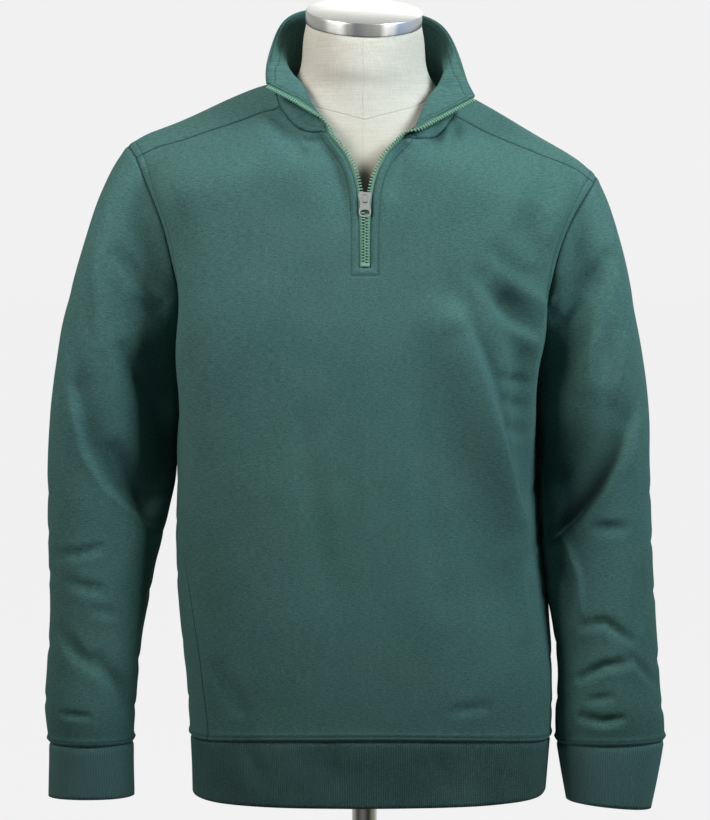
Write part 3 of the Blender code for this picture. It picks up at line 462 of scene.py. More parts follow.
def alongLine(points, line):  # the distance from a bent line, how far along it, and on which side
    line = np.array(line, float)
    lengths = np.linalg.norm(np.diff(line, axis=0), axis=1)
    starts = lengthAlong(line)
    nearest = np.full(len(points), 1e9)
    place = np.zeros(len(points))
    side = np.zeros(len(points))
    for i, length in enumerate(lengths):
        step = (line[i + 1] - line[i]) / length
        reach = points - line[i]
        inside = np.clip(reach @ step, 0, length)
        away = np.linalg.norm(reach - inside[:, None] * step, axis=1)
        across = (step[0] * reach[:, 1] - step[1] * reach[:, 0]) / np.maximum(away, 1e-6)
        closer = away < nearest
        nearest = np.where(closer, away, nearest)
        side = np.where(closer, np.clip(across, -1, 1), side)
        place = np.where(closer, (starts[i] + inside) / starts[-1], place)
    return nearest, place, side


def acrossFold(points, line, width):  # the distance as a share of the fold's width
    away, place, side = alongLine(points, line)
    left, right = width if isinstance(width, tuple) else (width, width)
    return away / ((left + right) / 2 + side * (left - right) / 2), place


def foldHeight(points, normals):
    setup = foldSetup
    height = np.zeros(len(points))
    for rows, axis, facing, strength in viewsOfFolds:
        weight = smoothStep(normals @ np.array(facing), *setup["facing"])
        for line, width, lift in rows:
            share, place = acrossFold(points[:, [axis, 2]], line, width)
            shape = bell(share) - setup["rebound"] * bell(share / setup["reboundReach"])
            fade = np.sin(np.pi * np.clip(place, 0.04, 0.96)) ** 0.7
            ends = setup["ends"] + (1 - setup["ends"]) * fade
            height += weight * lift * strength * shape * ends
    return height


# How much painted fold shade each point of a piece takes.
def paintedShadeOf(name, points, normals):
    shade = np.zeros(len(points))
    weight = smoothStep(-normals[:, 1], *paintedShadeSetup["facing"])
    for piece, line, width, dark in paintedFoldShades:
        if piece == name:
            share, place = acrossFold(points[:, [0, 2]], line, width)
            ends = np.sin(np.pi * np.clip(place, 0.03, 0.97)) ** paintedShadeSetup["ends"]
            shade = np.maximum(shade, dark * weight * bell(share) * ends)
    return shade


def softHeight(points):
    (wide, widePitch), (small, smallPitch) = foldSetup["wide"], foldSetup["small"]
    slow = [noise.noise(Vector(p) * widePitch + Vector((3, 7, 1))) for p in points]
    fast = [noise.noise(Vector((p[0], p[1], p[2] * 0.7)) * smallPitch) for p in points]
    return wide * np.array(slow) + small * np.array(fast)


# Edges. Each piece's rim is walked round, and every stretch of it is named after what it meets.


def rimSamples(shares):  # (piece, point, normal) along all rims
    samples = []
    for name, obj in sheets.items():
        if name == "collar_facing":
            continue
        points, normals = pointsOf(obj), normalsOf(obj)
        for rim in rimLoops(obj):
            for a, b in around(rim):
                for share in shares:
                    point = between(points[a], points[b], share)
                    samples.append((name, point, between(normals[a], normals[b], share)))
    return samples


def nameRims():
    loops = {name: rimLoops(obj) for name, obj in sheets.items()}
    samples = rimSamples((0, 0.25, 0.5, 0.75))
    meets = {}
    for name, rims in loops.items():
        others = [sample for sample in samples if sample[0] != name]
        tree = treeOf([point for _, point, _ in others])
        points = pointsOf(sheets[name])
        meets[name] = {}
        for v in (v for rim in rims for v in rim):
            _, i, away = tree.find(points[v])
            meets[name][v] = others[i][0] if away < clothSetup["meeting"] else "free"
    return loops, meets


def rimSegments(name, kinds=None):  # the rim's stretches that meet these pieces, or all of them
    points = pointsOf(sheets[name])
    met = meets[name]
    pairs = [
        (points[a], points[b])
        for rim in rims[name] for a, b in around(rim)
        if kinds is None or (met[a] in kinds and met[b] in kinds)
    ]  # fmt: skip
    return np.array(pairs, float)


def awayFrom(points, segments):
    nearest = np.full(len(points), 999.0)
    for a, b in segments:
        step = b - a
        share = np.clip(((points - a) @ step) / max(step @ step, 1e-9), 0, 1)
        nearest = np.minimum(nearest, np.linalg.norm(points - a - share[:, None] * step, axis=1))
    return nearest


def sharedNormals():  # what neighbours agree on, so that a fold crosses a seam unbroken
    samples = rimSamples((0, 0.5))
    tree = treeOf([point for _, point, _ in samples])
    agreed = {}
    for name, obj in sheets.items():
        points, own = pointsOf(obj), normalsOf(obj)
        agreed[name] = own.copy()
        for v in {v for rim in rims[name] for v in rim}:
            total = own[v].copy()
            for _, i, _ in tree.find_range(points[v], clothSetup["meeting"]):
                other, _, normal = samples[i]
                if other != name and normal @ own[v] > clothSetup["opposed"]:
                    total += normal
                    break
            agreed[name][v] = total / np.linalg.norm(total)
    return agreed


seamSetup = {  # depth or height, reach, and how far off: the groove, and the swell beside it
    "ribGroove": 1.5, "plainGroove": 0.8, "grooveReach": 2.0,
    "ribSwell": (1.7, 4.6, 2.6), "plainSwell": (0.5, 4.0, 3.0),
}  # fmt: skip


def seamHeight(name, points):
    height = np.zeros(len(points))
    if name == "collar_facing":
        return height
    isRib = name in ribPieces
    for kind in set(meets[name].values()) - {"free"}:
        away = awayFrom(points, rimSegments(name, {kind}))
        meetsRib = kind in ribPieces
        depth = seamSetup["ribGroove" if meetsRib or isRib else "plainGroove"]
        height -= depth * bell(away / seamSetup["grooveReach"])
        if meetsRib or not (isRib or name == "collar"):
            swell, middle, reach = seamSetup["ribSwell" if meetsRib else "plainSwell"]
            height += swell * bell((away - middle) / reach)
    return height


# Where the worn cloth lies otherwise than its solid: pieces, place, reach each way, and the shift.
hangs = [
    (("front", "back"), (-176, -30, 640), (46, 80, 56), (-9, 0, 0)),  # the chest over the left sleeve
    (("sleeve_left",), (-176, -10, 660), (20, 70, 46), (-8, 0, 0)),
    (("sleeve_left",), (-182, -10, 560), (24, 70, 46), (5, 3, 0)),
    (("front", "back"), (-180, 0, 560), (30, 70, 36), (-5, 0, 0)),
    (("front", "back"), (172, -30, 668), (40, 80, 34), (6, 0, 0)),  # the chest over the right one
    (("sleeve_right",), (170, -10, 672), (18, 70, 34), (5, 0, 0)),
    (("front", "back"), (182, -10, 510), (34, 90, 62), (-11, 0, 0)),
    (("sleeve_right",), (186, 0, 502), (26, 90, 86), (-12, 4, 0)),
    (("sleeve_right",), (184, 0, 590), (22, 80, 32), (-13, 3, 0)),
    (("sleeve_left",), (-184, 0, 594), (22, 80, 26), (7, 3, 0)),
    (("sleeve_right",), (192, -50, 535), (34, 60, 75), (0, 12, 0)),  # the inner sides, drawn back
    (("sleeve_left",), (-200, -50, 545), (36, 60, 85), (0, 10, 0)),
]

# The roll of the open collar beside the neck: how far the layers turn in, and from where forward.
collarRoll = {
    "reach": 11.0, "rise": 3.0, "from": 30.0, "to": -20.0, "centre": (0.0, -18.0),
    "foot": 13.0,  # the turn starts this far above the neckline
    "bodyFolds": 9.0,  # and the body's folds end this far above it
}  # fmt: skip

collarCreases = [  # place, reach each way, lift
    ((72, -72, 905), (9, 18, 22), -1.6),
    ((84, -50, 900), (9, 20, 18), 1.2),
    ((-70, -70, 905), (10, 18, 20), -1.4),
    ((-84, -48, 915), (9, 22, 20), 1.0),
    ((-40, 66, 960), (26, 14, 10), 1.2),
    ((36, 62, 948), (24, 14, 9), -1.3),
]


def swelling(points, place, reach):
    return bell(np.linalg.norm((points - place) / np.array(reach, float), axis=1))


def collarTurn(points, toNeck, toTop):
    share = toNeck / np.maximum(toNeck + toTop, 1e-6)
    bulge = (1 - bell(toNeck / collarRoll["foot"])) * np.sin(np.pi * share)
    bulge *= smoothStep(-points[:, 1], -collarRoll["from"], -collarRoll["to"])
    turn = np.zeros_like(points)
    inward = unit(np.array(collarRoll["centre"]) - points[:, :2])
    turn[:, :2] = inward * (bulge * collarRoll["reach"])[:, None]
    turn[:, 2] = bulge * collarRoll["rise"]
    return turn


print("cloth: skins")
sheets = {name: oneSkin(name) for name in pieceThickness}
keepCorners()
for obj in sheets.values():
    subdivide(obj, clothSetup["levels"])

print("cloth: folds")
rims, meets = nameRims()
flatPoints = {name: pointsOf(obj) for name, obj in sheets.items()}
agreed = sharedNormals()
shifts = {}
for name in sheets:
    if name == "collar_facing":
        continue
    points = flatPoints[name]
    lift = foldHeight(points, agreed[name]) + softHeight(points)
    if name == "collar":  # it stands by itself, and only its foot moves with the body
        toNeck = awayFrom(points, rimSegments(name, {"front", "back"}))
        toTop = awayFrom(points, rimSegments(name, {"free"}))
        lift = lift * bell(toNeck / collarRoll["bodyFolds"])
        lift += sum(height * swelling(points, *spot) for *spot, height in collarCreases)
    shifts[name] = agreed[name] * lift[:, None]
    for pieces, place, reach, shift in hangs:
        if name in pieces:
            shifts[name] += swelling(points, place, reach)[:, None] * np.array(shift, float)
    if name == "collar":
        shifts[name] += collarTurn(points, toNeck, toTop)
        tree = treeOf(points)
        nearest = [tree.find(point)[1] for point in flatPoints["collar_facing"]]
        shifts["collar_facing"] = shifts[name][nearest]
for name, obj in sheets.items():
    movePoints(obj, flatPoints[name] + shifts[name])

print("cloth: seams")
for name, obj in sheets.items():
    points = pointsOf(obj)
    movePoints(obj, points + normalsOf(obj) * seamHeight(name, points)[:, None])

sewingOrder = ["front", "sleeve_left", "sleeve_right", "collar", *ribPieces]
sewnWithin = 5.0


def closeSeams():  # sews each piece's rim onto the rim that it meets
    rimEdges = {name: rimSegments(name) for name in sheets}
    for rank, name in enumerate(sewingOrder):
        points = pointsOf(sheets[name])
        for v in (v for rim in rims[name] for v in rim):
            other = meets[name][v]
            if other == "free" or other in sewingOrder[rank + 1 :]:
                continue
            starts, ends = rimEdges[other][:, 0], rimEdges[other][:, 1]
            steps = ends - starts
            lengths = np.maximum((steps**2).sum(axis=1), 1e-9)
            share = np.clip(((points[v] - starts) * steps).sum(axis=1) / lengths, 0, 1)
            nearest = starts + share[:, None] * steps
            away = np.linalg.norm(nearest - points[v], axis=1)
            if away.min() < sewnWithin:
                points[v] = nearest[int(np.argmin(away))]
        movePoints(sheets[name], points)
        rimEdges[name] = rimSegments(name)


closeSeams()

# Paths along the opening: the edge of the front and of the collar, one for each side.

openingMarks = {  # the corners of the opening, and the heights that the walk between them keeps to
    "left": {"foot": (-6, -121, 730), "neck": (-43, -97, 856), "wing": (-96, -60, 908)},
    "right": {"foot": (6, -121, 730), "neck": (43, -97, 856), "wing": (106, -62, 896)},
    "underNeck": 862, "underWing": 912, "overWing": 893,
}  # fmt: skip
sides = ("left", "right")


def cornerNear(name, place):  # the rim's number and the vertex's place on it
    away = [np.linalg.norm((corner - place) * (1, 0.5, 1)) for corner in corners[name]]
    corner = corners[name][int(np.argmin(away))]
    gaps = [
        (np.linalg.norm(flatPoints[name][v] - corner), number, i)
        for number, rim in enumerate(rims[name]) for i, v in enumerate(rim)
    ]  # fmt: skip
    return min(gaps)[1:]


def walkRim(name, start, end, lowest=0, highest=2000):  # points, normals and ways out
    number, i = cornerNear(name, start)
    _, j = cornerNear(name, end)
    rim = rims[name][number]
    count = len(rim)
    forward = (j - i) % count
    heights = flatPoints[name][[rim[(i + k) % count] for k in range(forward + 1)]][:, 2]
    step = 1 if heights.min() > lowest and heights.max() < highest else -1
    steps = forward if step == 1 else count - forward
    chain = [rim[(i + step * k) % count] for k in range(steps + 1)]
    place, normals = pointsOf(sheets[name])[chain], normalsOf(sheets[name])[chain]
    return place, normals, unit(np.cross(np.gradient(place, axis=0) * step, normals))


def slotEdge(side, name="front"):
    marks = openingMarks[side]
    return walkRim(name, marks["foot"], marks["neck"], highest=openingMarks["underNeck"])


def wingEdge(side, name="collar"):
    marks = openingMarks[side]
    return walkRim(name, marks["neck"], marks["wing"], highest=openingMarks["underWing"])


# Takes (points, normals, ways out, depths) to an even pitch and eases them along their length.
def resampled(path, pitch, blur):
    run = lengthAlong(path[0])
    at = np.linspace(0, run[-1], int(run[-1] / pitch) + 1)
    # even on both sides of a point near the end, so that the ends stay where they are
    room = np.maximum(np.minimum(at, run[-1] - at), 1e-6)[:, None]
    gap = at[:, None] - at[None, :]
    rows = []
    for values, reach in zip(path, (blur[0], blur[1], blur[1], blur[1])):
        columns = values.reshape(len(run), -1).T
        fine = np.stack([np.interp(at, run, column) for column in columns], axis=1)
        weights = bell(gap / reach) * (np.abs(gap) <= room)
        rows.append(weights @ fine / weights.sum(axis=1)[:, None])
    points, guide, outs, depths = rows
    ahead = unit(np.gradient(points, axis=0))
    outs = unit(outs - ahead * (outs * ahead).sum(axis=1)[:, None])
    normals = np.cross(outs, ahead)
    normals *= np.sign((normals * guide).sum(axis=1))[:, None]
    return points, ahead, outs, normals, depths[:, 0], at


zipSetup = {
    "step": 1.4, "ease": (2.2, 7.0),  # of the path: its pitch, and how it is eased
    "pitch": 2.8,  # one tooth of a side to the next
    "first": 2.2, "last": 4.5,  # the first tooth from the foot, and the last from the wing
    "tapeIn": 1.4, "tapeOut": 3.5,  # the tape, from the cloth's edge
    "tapeThick": 0.7, "beadThick": 1.7,  # its cord under the teeth
    "beadEdges": (1.5, 1.0, 0.3),  # where the cord starts and ends, from the tape's edge
    "toothFrom": 2.5, "toothTo": 6.35,
    "toothWide": 1.35, "toothNeck": 1.05, "toothThick": 2.5, "toothRound": 0.42,
    "waistAt": 0.55, "waistReach": 0.9,
    "sliderAt": 794.0, "sliderRoom": 6.5, "closedBelow": 786,
    "stopAt": 732.5, "stopSize": (8.5, 3.2, 2.8), "stopRound": 0.5,
    "guardWide": 10.0, "guardThick": 0.5, "guardBehind": 0.65,  # the strip behind the closed teeth
    "layers": 0.3,  # between the collar and its facing
}  # fmt: skip


def openingPath(side):
    low, high = slotEdge(side), wingEdge(side)
    depths = [
        np.full(len(low[0]), pieceThickness["front"] / 2),
        np.full(len(high[0]), pieceThickness["collar"] + zipSetup["layers"]),
    ]
    path = [np.concatenate([a[:-2], b[2:]]) for a, b in zip((*low, depths[0]), (*high, depths[1]))]
    return resampled(path, zipSetup["step"], zipSetup["ease"])


def objectOf(name, points, faces):
    mesh = bpy.data.meshes.new(name)
    mesh.from_pydata([tuple(point) for point in np.asarray(points) * mm], [], faces)
    mesh.validate()
    shell = bmesh.new()
    shell.from_mesh(mesh)
    bmesh.ops.recalc_face_normals(shell, faces=shell.faces)
    shell.to_mesh(mesh)
    shell.free()
    mesh.shade_smooth()
    return addObject(name, mesh)


def sweep(name, path, outline):  # runs an outline of (way out, way up) along a path
    points, _, outs, normals, depths, _ = path
    rings = [
        points + outs * across + normals * (up - depths[:, None]) for across, up in outline
    ]
    count, edges = len(points), len(outline)
    faces = []
    for i in range(0, (count - 1) * edges, edges):
        for j in range(edges):
            k = (j + 1) % edges
            faces.append((i + j, i + k, i + edges + k, i + edges + j))
    faces.append(tuple(range(edges)))
    faces.append(tuple(range((count - 1) * edges, count * edges))[::-1])
    return objectOf(name, np.stack(rings, axis=1).reshape(-1, 3), faces)


def copiesOf(name, template, places):  # one mesh of many copies, each at (middle, three axes)
    base = pointsOf(template)
    faces = [tuple(p.vertices) for p in template.data.polygons]
    count = len(base)
    points = [middle + base @ np.array(axes) for middle, axes in places]
    rows = [tuple(v + i * count for v in face) for i in range(len(places)) for face in faces]
    return objectOf(name, np.concatenate(points), rows)


def startBlock(size):
    bpy.ops.mesh.primitive_cube_add(size=1)
    block = bpy.context.object
    bpy.ops.object.mode_set(mode="EDIT")
    bpy.ops.mesh.select_all(action="SELECT")
    size = tuple(side * mm for side in size)
    bpy.ops.transform.resize(value=size, center_override=(0, 0, 0))
    return block


def finishShape(obj):
    bpy.ops.object.mode_set(mode="OBJECT")
    obj.data.shade_smooth()
    obj.select_set(False)
    return obj


def modelTooth():  # a block on the tape's cord, a narrower neck and a rounded head
    setup = zipSetup
    length = setup["toothTo"] - setup["toothFrom"]
    tooth = startBlock((setup["toothWide"], length, setup["toothThick"]))
    bpy.ops.transform.translate(value=(0, (setup["toothFrom"] + length / 2) * mm, 0))
    bpy.ops.mesh.bevel(offset=setup["toothRound"] * mm, segments=2, affect="EDGES")
    finishShape(tooth)
    points = pointsOf(tooth)
    middle = setup["toothFrom"] + setup["waistAt"] * length
    waist = bell((points[:, 1] - middle) / setup["waistReach"])
    points[:, 0] *= 1 - (1 - setup["toothNeck"] / setup["toothWide"]) * waist
    movePoints(tooth, points)
    return tooth


def modelStop(middle):
    wide, high, deep = zipSetup["stopSize"]
    stop = startBlock((wide, deep, high))
    stop.name = "zipStop"
    bpy.ops.mesh.bevel(offset=zipSetup["stopRound"] * mm, segments=2, affect="EDGES")
    bpy.ops.transform.translate(value=tuple(middle * mm))
    return finishShape(stop)


def dropTemplate(obj):
    bpy.data.objects.remove(obj, do_unlink=True)


easeSetup = {"share": 0.8, "reach": (0.5, 10), "cloth": 10, "furthest": 30}


# Draws the edges of the opening into one smooth curve, and the cloth beside them with it.
def easeOpening():
    before, after = [], []
    for side in sides:
        points = np.concatenate([slotEdge(side)[0], wingEdge(side)[0]])
        run = lengthAlong(points)
        near = np.abs(run[:, None] - run[None, :])
        room = np.minimum(run, run[-1] - run)[:, None]
        reach = np.clip(room * easeSetup["share"], *easeSetup["reach"])
        weights = bell(near / reach) * (near <= room + 0.01)
        before.append(points)
        after.append(weights @ points / weights.sum(axis=1)[:, None])
    before, after = np.concatenate(before), np.concatenate(after)
    tree = treeOf(before)
    for name in ("front", "collar", "collar_facing"):
        points = pointsOf(sheets[name])
        for v, point in enumerate(points):
            _, i, away = tree.find(point)
            if away < easeSetup["furthest"]:
                points[v] = point + (after[i] - before[i]) * bell(away / easeSetup["cloth"])
        movePoints(sheets[name], points)


def tapeOutline():
    setup = zipSetup
    thin, bead, edge = setup["tapeThick"] / 2, setup["beadThick"] / 2, setup["tapeOut"]
    start, rise, fall = (edge - back for back in setup["beadEdges"])
    upper = [(-setup["tapeIn"], thin), (start, thin), (rise, bead), (fall, bead), (edge, thin)]
    return upper + [(across, -up) for across, up in upper[::-1]]


def toothPlaces(path, start):
    points, ahead, outs, normals, depths, at = path
    setup = zipSetup
    step = at[1] - at[0]
    places = []
    for run in np.arange(start, at[-1] - setup["last"], setup["pitch"]):
        i = min(int(run / step), len(at) - 2)
        share = (run - at[i]) / step
        middle = between(points[i], points[i + 1], share)
        middle = middle - normals[i] * between(depths[i], depths[i + 1], share)
        if abs(middle[2] - setup["sliderAt"]) >= setup["sliderRoom"]:
            places.append((middle, (ahead[i], outs[i], normals[i])))
    return places


print("zip")
easeOpening()
paths = {side: openingPath(side) for side in sides}
tooth = modelTooth()
zipTapes, zipTeeth = {}, {}
for side, path in paths.items():
    zipTapes[side] = sweep(f"zipTape{side.title()}", [row[:-3] for row in path], tapeOutline())
    start = zipSetup["first"] + (zipSetup["pitch"] / 2 if side == "right" else 0)
    places = toothPlaces(path, start)
    zipTeeth[side] = copiesOf(f"zipTeeth{side.title()}", tooth, places)
    print(side, len(places), "teeth")
dropTemplate(tooth)
closed = [row[paths["left"][0][:, 2] < zipSetup["closedBelow"]] for row in paths["left"]]
facing = [row[: len(closed[0])] for row in paths["right"]]
middles = (closed[0] + facing[0]) / 2
guardPath = (
    middles, closed[1], np.tile((1.0, 0.0, 0.0), (len(middles), 1)),
    (closed[3] + facing[3]) / 2, closed[4] + zipSetup["guardBehind"], closed[5],
)  # fmt: skip
half, thin = zipSetup["guardWide"] / 2, zipSetup["guardThick"] / 2
guardOutline = [(-half, thin), (half, thin), (half, -thin), (-half, -thin)]
zipGuard = sweep("zipGuard", guardPath, guardOutline)
zipStop = modelStop(middles[int(np.argmin(np.abs(middles[:, 2] - zipSetup["stopAt"])))])

# Topstitching. Each line lies at a set distance from an edge of its piece.

stitchSetup = {
    "pitch": 3.3, "long": 2.5, "thick": 0.55, "sunk": 0.22,
    "taper": 0.35, "dip": 0.34,  # at its ends
    "shortest": 12,  # a line below this is left out
    "square": 3,  # the slot's width is read this far above its end
}  # fmt: skip

stitchLines = {  # piece: rows of (the edge, the distance from it)
    "front": [("slot", 7.2), ("sleeve_left", 8.0), ("sleeve_right", 8.0), ("hem_band", 6.0)],
    "back": [("sleeve_left", 8.0), ("sleeve_right", 8.0), ("hem_band", 6.0)],
    "sleeve_left": [("cuff_left", 6.0)],
    "sleeve_right": [("cuff_right", 6.0)],
    "collar": [("top", 8.0), ("wings", 3.0)],
    "collar_facing": [("top", 8.0), ("wings", 3.0)],
}


def stretches(place):
    return np.stack([place[:-1], place[1:]], axis=1)


def edgesOf(name):  # the rim's stretches under the names that the topstitching uses
    kinds = {kind: rimSegments(name, {kind}) for kind in set(meets[name].values())}
    left, right = (openingMarks[side] for side in sides)
    if name == "front":
        place = walkRim(name, left["neck"], right["neck"], highest=openingMarks["underNeck"])[0]
        kinds["slot"] = stretches(place)
    if name.startswith("collar"):
        kinds["wings"] = np.concatenate([stretches(wingEdge(side, name)[0]) for side in sides])
        place = walkRim(name, left["wing"], right["wing"], lowest=openingMarks["overWing"])[0]
        kinds["top"] = stretches(place)
    return kinds


def evened(obj, values, rounds=6):
    pairs = np.array([edge.vertices[:] for edge in obj.data.edges])
    count = np.bincount(pairs.ravel(), minlength=len(values))
    for _ in range(rounds):
        total = np.bincount(pairs[:, 0], values[pairs[:, 1]], len(values))
        total += np.bincount(pairs[:, 1], values[pairs[:, 0]], len(values))
        values = np.where(values > 3, (values + total / count) / 2, values)
    return values


def contourOf(obj, values, rows):  # these rows, along each line where the values pass zero
    above = values > 0
    crossings, links = {}, {}
    for polygon in obj.data.polygons:
        kept = above[list(polygon.vertices)]
        if kept.all() or not kept.any():
            continue
        found = []
        for a, b in polygon.edge_keys:
            if above[a] != above[b]:
                found.append((a, b))
                crossings[a, b] = between(rows[a], rows[b], values[a] / (values[a] - values[b]))
        if len(found) == 2:
            links.setdefault(found[0], []).append(found[1])
            links.setdefault(found[1], []).append(found[0])
    lines = []
    while links:
        ends = [key for key, others in links.items() if len(others) == 1]
        key = ends[0] if ends else next(iter(links))
        line = []
        while key is not None:
            line.append(crossings[key])
            onwards = [other for other in links.pop(key) if other in links]
            for other in onwards:
                links[other] = [k for k in links[other] if k != key]
            key = onwards[0] if onwards else None
        links = {k: v for k, v in links.items() if v}
        if len(line) > 6:
            lines.append(np.array(line))
    return lines


def modelStitch():  # lying along x, its ends going down into the cloth
    setup = stitchSetup
    radius = setup["thick"] / 2 * mm
    bpy.ops.mesh.primitive_cylinder_add(vertices=6, radius=radius, depth=1 * mm)
    stitch = bpy.context.object
    bpy.ops.object.mode_set(mode="EDIT")
    bpy.ops.mesh.select_all(action="SELECT")
    bpy.ops.transform.rotate(value=math.pi / 2, orient_axis="Y", center_override=(0, 0, 0))
    bpy.ops.transform.resize(value=(setup["long"], 1, 1), center_override=(0, 0, 0))
    bpy.ops.mesh.subdivide(number_cuts=1)
    finishShape(stitch)
    points = pointsOf(stitch)
    share = np.abs(points[:, 0]) / (setup["long"] / 2)
    points[:, 2] = points[:, 2] * (1 - setup["taper"] * share**3) - setup["dip"] * share**3
    movePoints(stitch, points)
    return stitch


def squareEnd(away, edge, points, distance):  # so that the line runs square below the zip's end
    rim = edge[:, 0]
    foot = rim[:, 2].min()
    ends = rim[rim[:, 2] < foot + stitchSetup["square"], 0]
    beside = np.maximum(ends.min() - points[:, 0], points[:, 0] - ends.max())
    square = np.maximum(beside, foot - points[:, 2]) - distance
    return np.where((points[:, 2] < foot) & (points[:, 1] < 0), square, away)


def stitchPlaces(line):
    run = lengthAlong(line[:, :3])
    if run[-1] < stitchSetup["shortest"]:
        return []
    half = stitchSetup["pitch"] / 2
    at = np.arange(half, run[-1], half)
    even = np.stack([np.interp(at, run, column) for column in line.T], axis=1)
    even[1:-1] = (even[:-2] + 2 * even[1:-1] + even[2:]) / 4
    places = []
    for i in range(1, len(even) - 1, 2):
        ahead = even[i + 1, :3] - even[i - 1, :3]
        ahead /= np.linalg.norm(ahead)
        up = even[i, 3:] - ahead * (even[i, 3:] @ ahead)
        up /= np.linalg.norm(up)
        middle = even[i, :3] + up * (stitchSetup["thick"] / 2 - stitchSetup["sunk"])
        places.append((middle, (ahead, np.cross(up, ahead), up)))
    return places


print("topstitching")
stitch = modelStitch()
threads = {}
for name, rows in stitchLines.items():
    obj = sheets[name]
    points, normals = pointsOf(obj), normalsOf(obj)
    edges = edgesOf(name)
    nearest = np.full(len(points), 99.0)
    places = []
    for kind, distance in rows:
        away = evened(obj, awayFrom(points, edges[kind])) - distance
        if kind == "slot":
            away = squareEnd(away, edges[kind], points, distance)
        nearest = np.minimum(nearest, away)
        for line in contourOf(obj, away, np.hstack([points, normals])):
            places += stitchPlaces(line)
    writeValue(obj, "stitchAway", nearest)
    threads[name] = copiesOf(f"{name}Stitches", stitch, places)
    print(name, len(places), "stitches")
dropTemplate(stitch)

# Weave coordinates: across and along the cloth, in metres, kept as a UV map on each piece.

sleeveAxes = {
    "left": [(-206, 0, 740), (-228, 3, 660), (-238, 4, 610), (-249, 1, 550), (-257, -3, 495),
             (-263, -6, 430), (-270, -10, 340), (-274, -12, 285), (-274, -13, 190)],
    "right": [(200, 0, 720), (217, 1, 640), (225, -2, 590), (233, -3, 540), (234, -4, 480),
              (236, -7, 410), (243, -10, 340), (246, -13, 280), (245, -13, 190)],
}  # fmt: skip
weaveSetup = {
    "body": 170.0, "collar": 85.0, "sleeve": 55.0,  # radii that turn an angle into a length
    "collarMiddle": -20.0, "aboveAxis": 200,
}  # fmt: skip


def bodyWeave(name, points):
    isCollar = name.startswith("collar")
    radius = weaveSetup["collar" if isCollar else "body"]
    depth = points[:, 1] - (weaveSetup["collarMiddle"] if isCollar else 0)
    return np.arctan2(points[:, 0], -depth) * radius, points[:, 2], radius


def sleeveWeave(side, points):
    axis = np.array(sleeveAxes[side], float)
    radius = weaveSetup["sleeve"]
    across, along = np.zeros(len(points)), np.zeros(len(points))
    nearest = np.full(len(points), 1e9)
    run = 0.0
    for i, (low, high) in enumerate(zip(axis, axis[1:])):
        length = np.linalg.norm(high - low)
        step = (high - low) / length
        share = np.clip((points - low) @ step, 0 if i else -weaveSetup["aboveAxis"], length)
        out = points - low - share[:, None] * step
        away = np.linalg.norm(out, axis=1)
        turn = np.arctan2(out[:, 1], out[:, 0] * (-1 if side == "left" else 1))
        closer = away < nearest
        nearest = np.where(closer, away, nearest)
        across = np.where(closer, turn * radius, across)
        along = np.where(closer, run + share, along)
        run += length
    return across, along, radius


def writeWeave(obj, name):
    side = [side for side in sides if side in name]
    points = pointsOf(obj)
    across, along, radius = sleeveWeave(side[0], points) if side else bodyWeave(name, points)
    layer = obj.data.uv_layers.new(name="weave")
    values = np.zeros((len(obj.data.loops), 2))
    for polygon in obj.data.polygons:
        verts = list(polygon.vertices)
        u = across[verts]
        if u.max() - u.min() > radius * math.pi:
            u = np.where(u < 0, u + radius * math.tau, u)
        start = polygon.loop_start
        values[start : start + polygon.loop_total] = np.stack([u, along[verts]], axis=1) * mm
    layer.data.foreach_set("uv", values.ravel())


print("cloth: weave")
for name, obj in sheets.items():
    points = pointsOf(obj)
    seams = set(meets[name].values()) - {"free", "collar" if name == "collar_facing" else ""}
    writeValue(obj, "toSeam", awayFrom(points, rimSegments(name, seams)))
    # the painted shade of the deep folds, kept for the fleece's colour
    writeValue(obj, "paintedFoldShade", paintedShadeOf(name, points, normalsOf(obj)))
    writeWeave(obj, name)
    obj.data.shade_smooth()

# Nodes. A constant is set on its socket, and anything else is linked to it.


def feed(tree, socket, value):
    if isinstance(value, (int, float, tuple)):
        socket.default_value = value
    elif value is not None:
        tree.links.new(value, socket)


def addNode(tree, kind, inputs=None, **settings):
    node = tree.nodes.new("ShaderNode" + kind)
    for label, value in settings.items():
        setattr(node, label, value)
    for label, value in (inputs or {}).items():
        feed(tree, node.inputs[label], value)
    return node


def calc(tree, operation, *values):
    return addNode(tree, "Math", dict(enumerate(values)), operation=operation).outputs[0]


def noiseOf(tree, vector, scale=1.0, detail=2.0, rough=0.5):
    inputs = {"Vector": vector, "Scale": scale, "Detail": detail, "Roughness": rough}
    return addNode(tree, "TexNoise", inputs).outputs["Fac"]


def stretched(tree, vector, sizes):
    return addNode(tree, "Mapping", {"Vector": vector, "Scale": sizes}).outputs["Vector"]


def mixed(tree, share, a, b, how="MIX"):
    inputs = {"Factor": share, 6: a, 7: b}
    return addNode(tree, "Mix", inputs, data_type="RGBA", blend_type=how).outputs[2]


def ranged(tree, value, low, high, to=(0.0, 1.0)):
    inputs = {"Value": value, "From Min": low, "From Max": high, "To Min": to[0], "To Max": to[1]}
    return addNode(tree, "MapRange", inputs).outputs["Result"]


def bumped(tree, height, distance, strength, normal=None):
    inputs = {"Height": height, "Distance": distance * mm, "Strength": strength, "Normal": normal}
    return addNode(tree, "Bump", inputs).outputs["Normal"]


def attributeOf(tree, name):
    return addNode(tree, "Attribute", attribute_name=name).outputs["Fac"]


def placeOf(tree):
    return addNode(tree, "TexCoord").outputs["Object"]


def weaveOf(tree):
    return addNode(tree, "UVMap", uv_map="weave").outputs["UV"]


def partsOf(tree, vector):
    return addNode(tree, "SeparateXYZ", {0: vector}).outputs


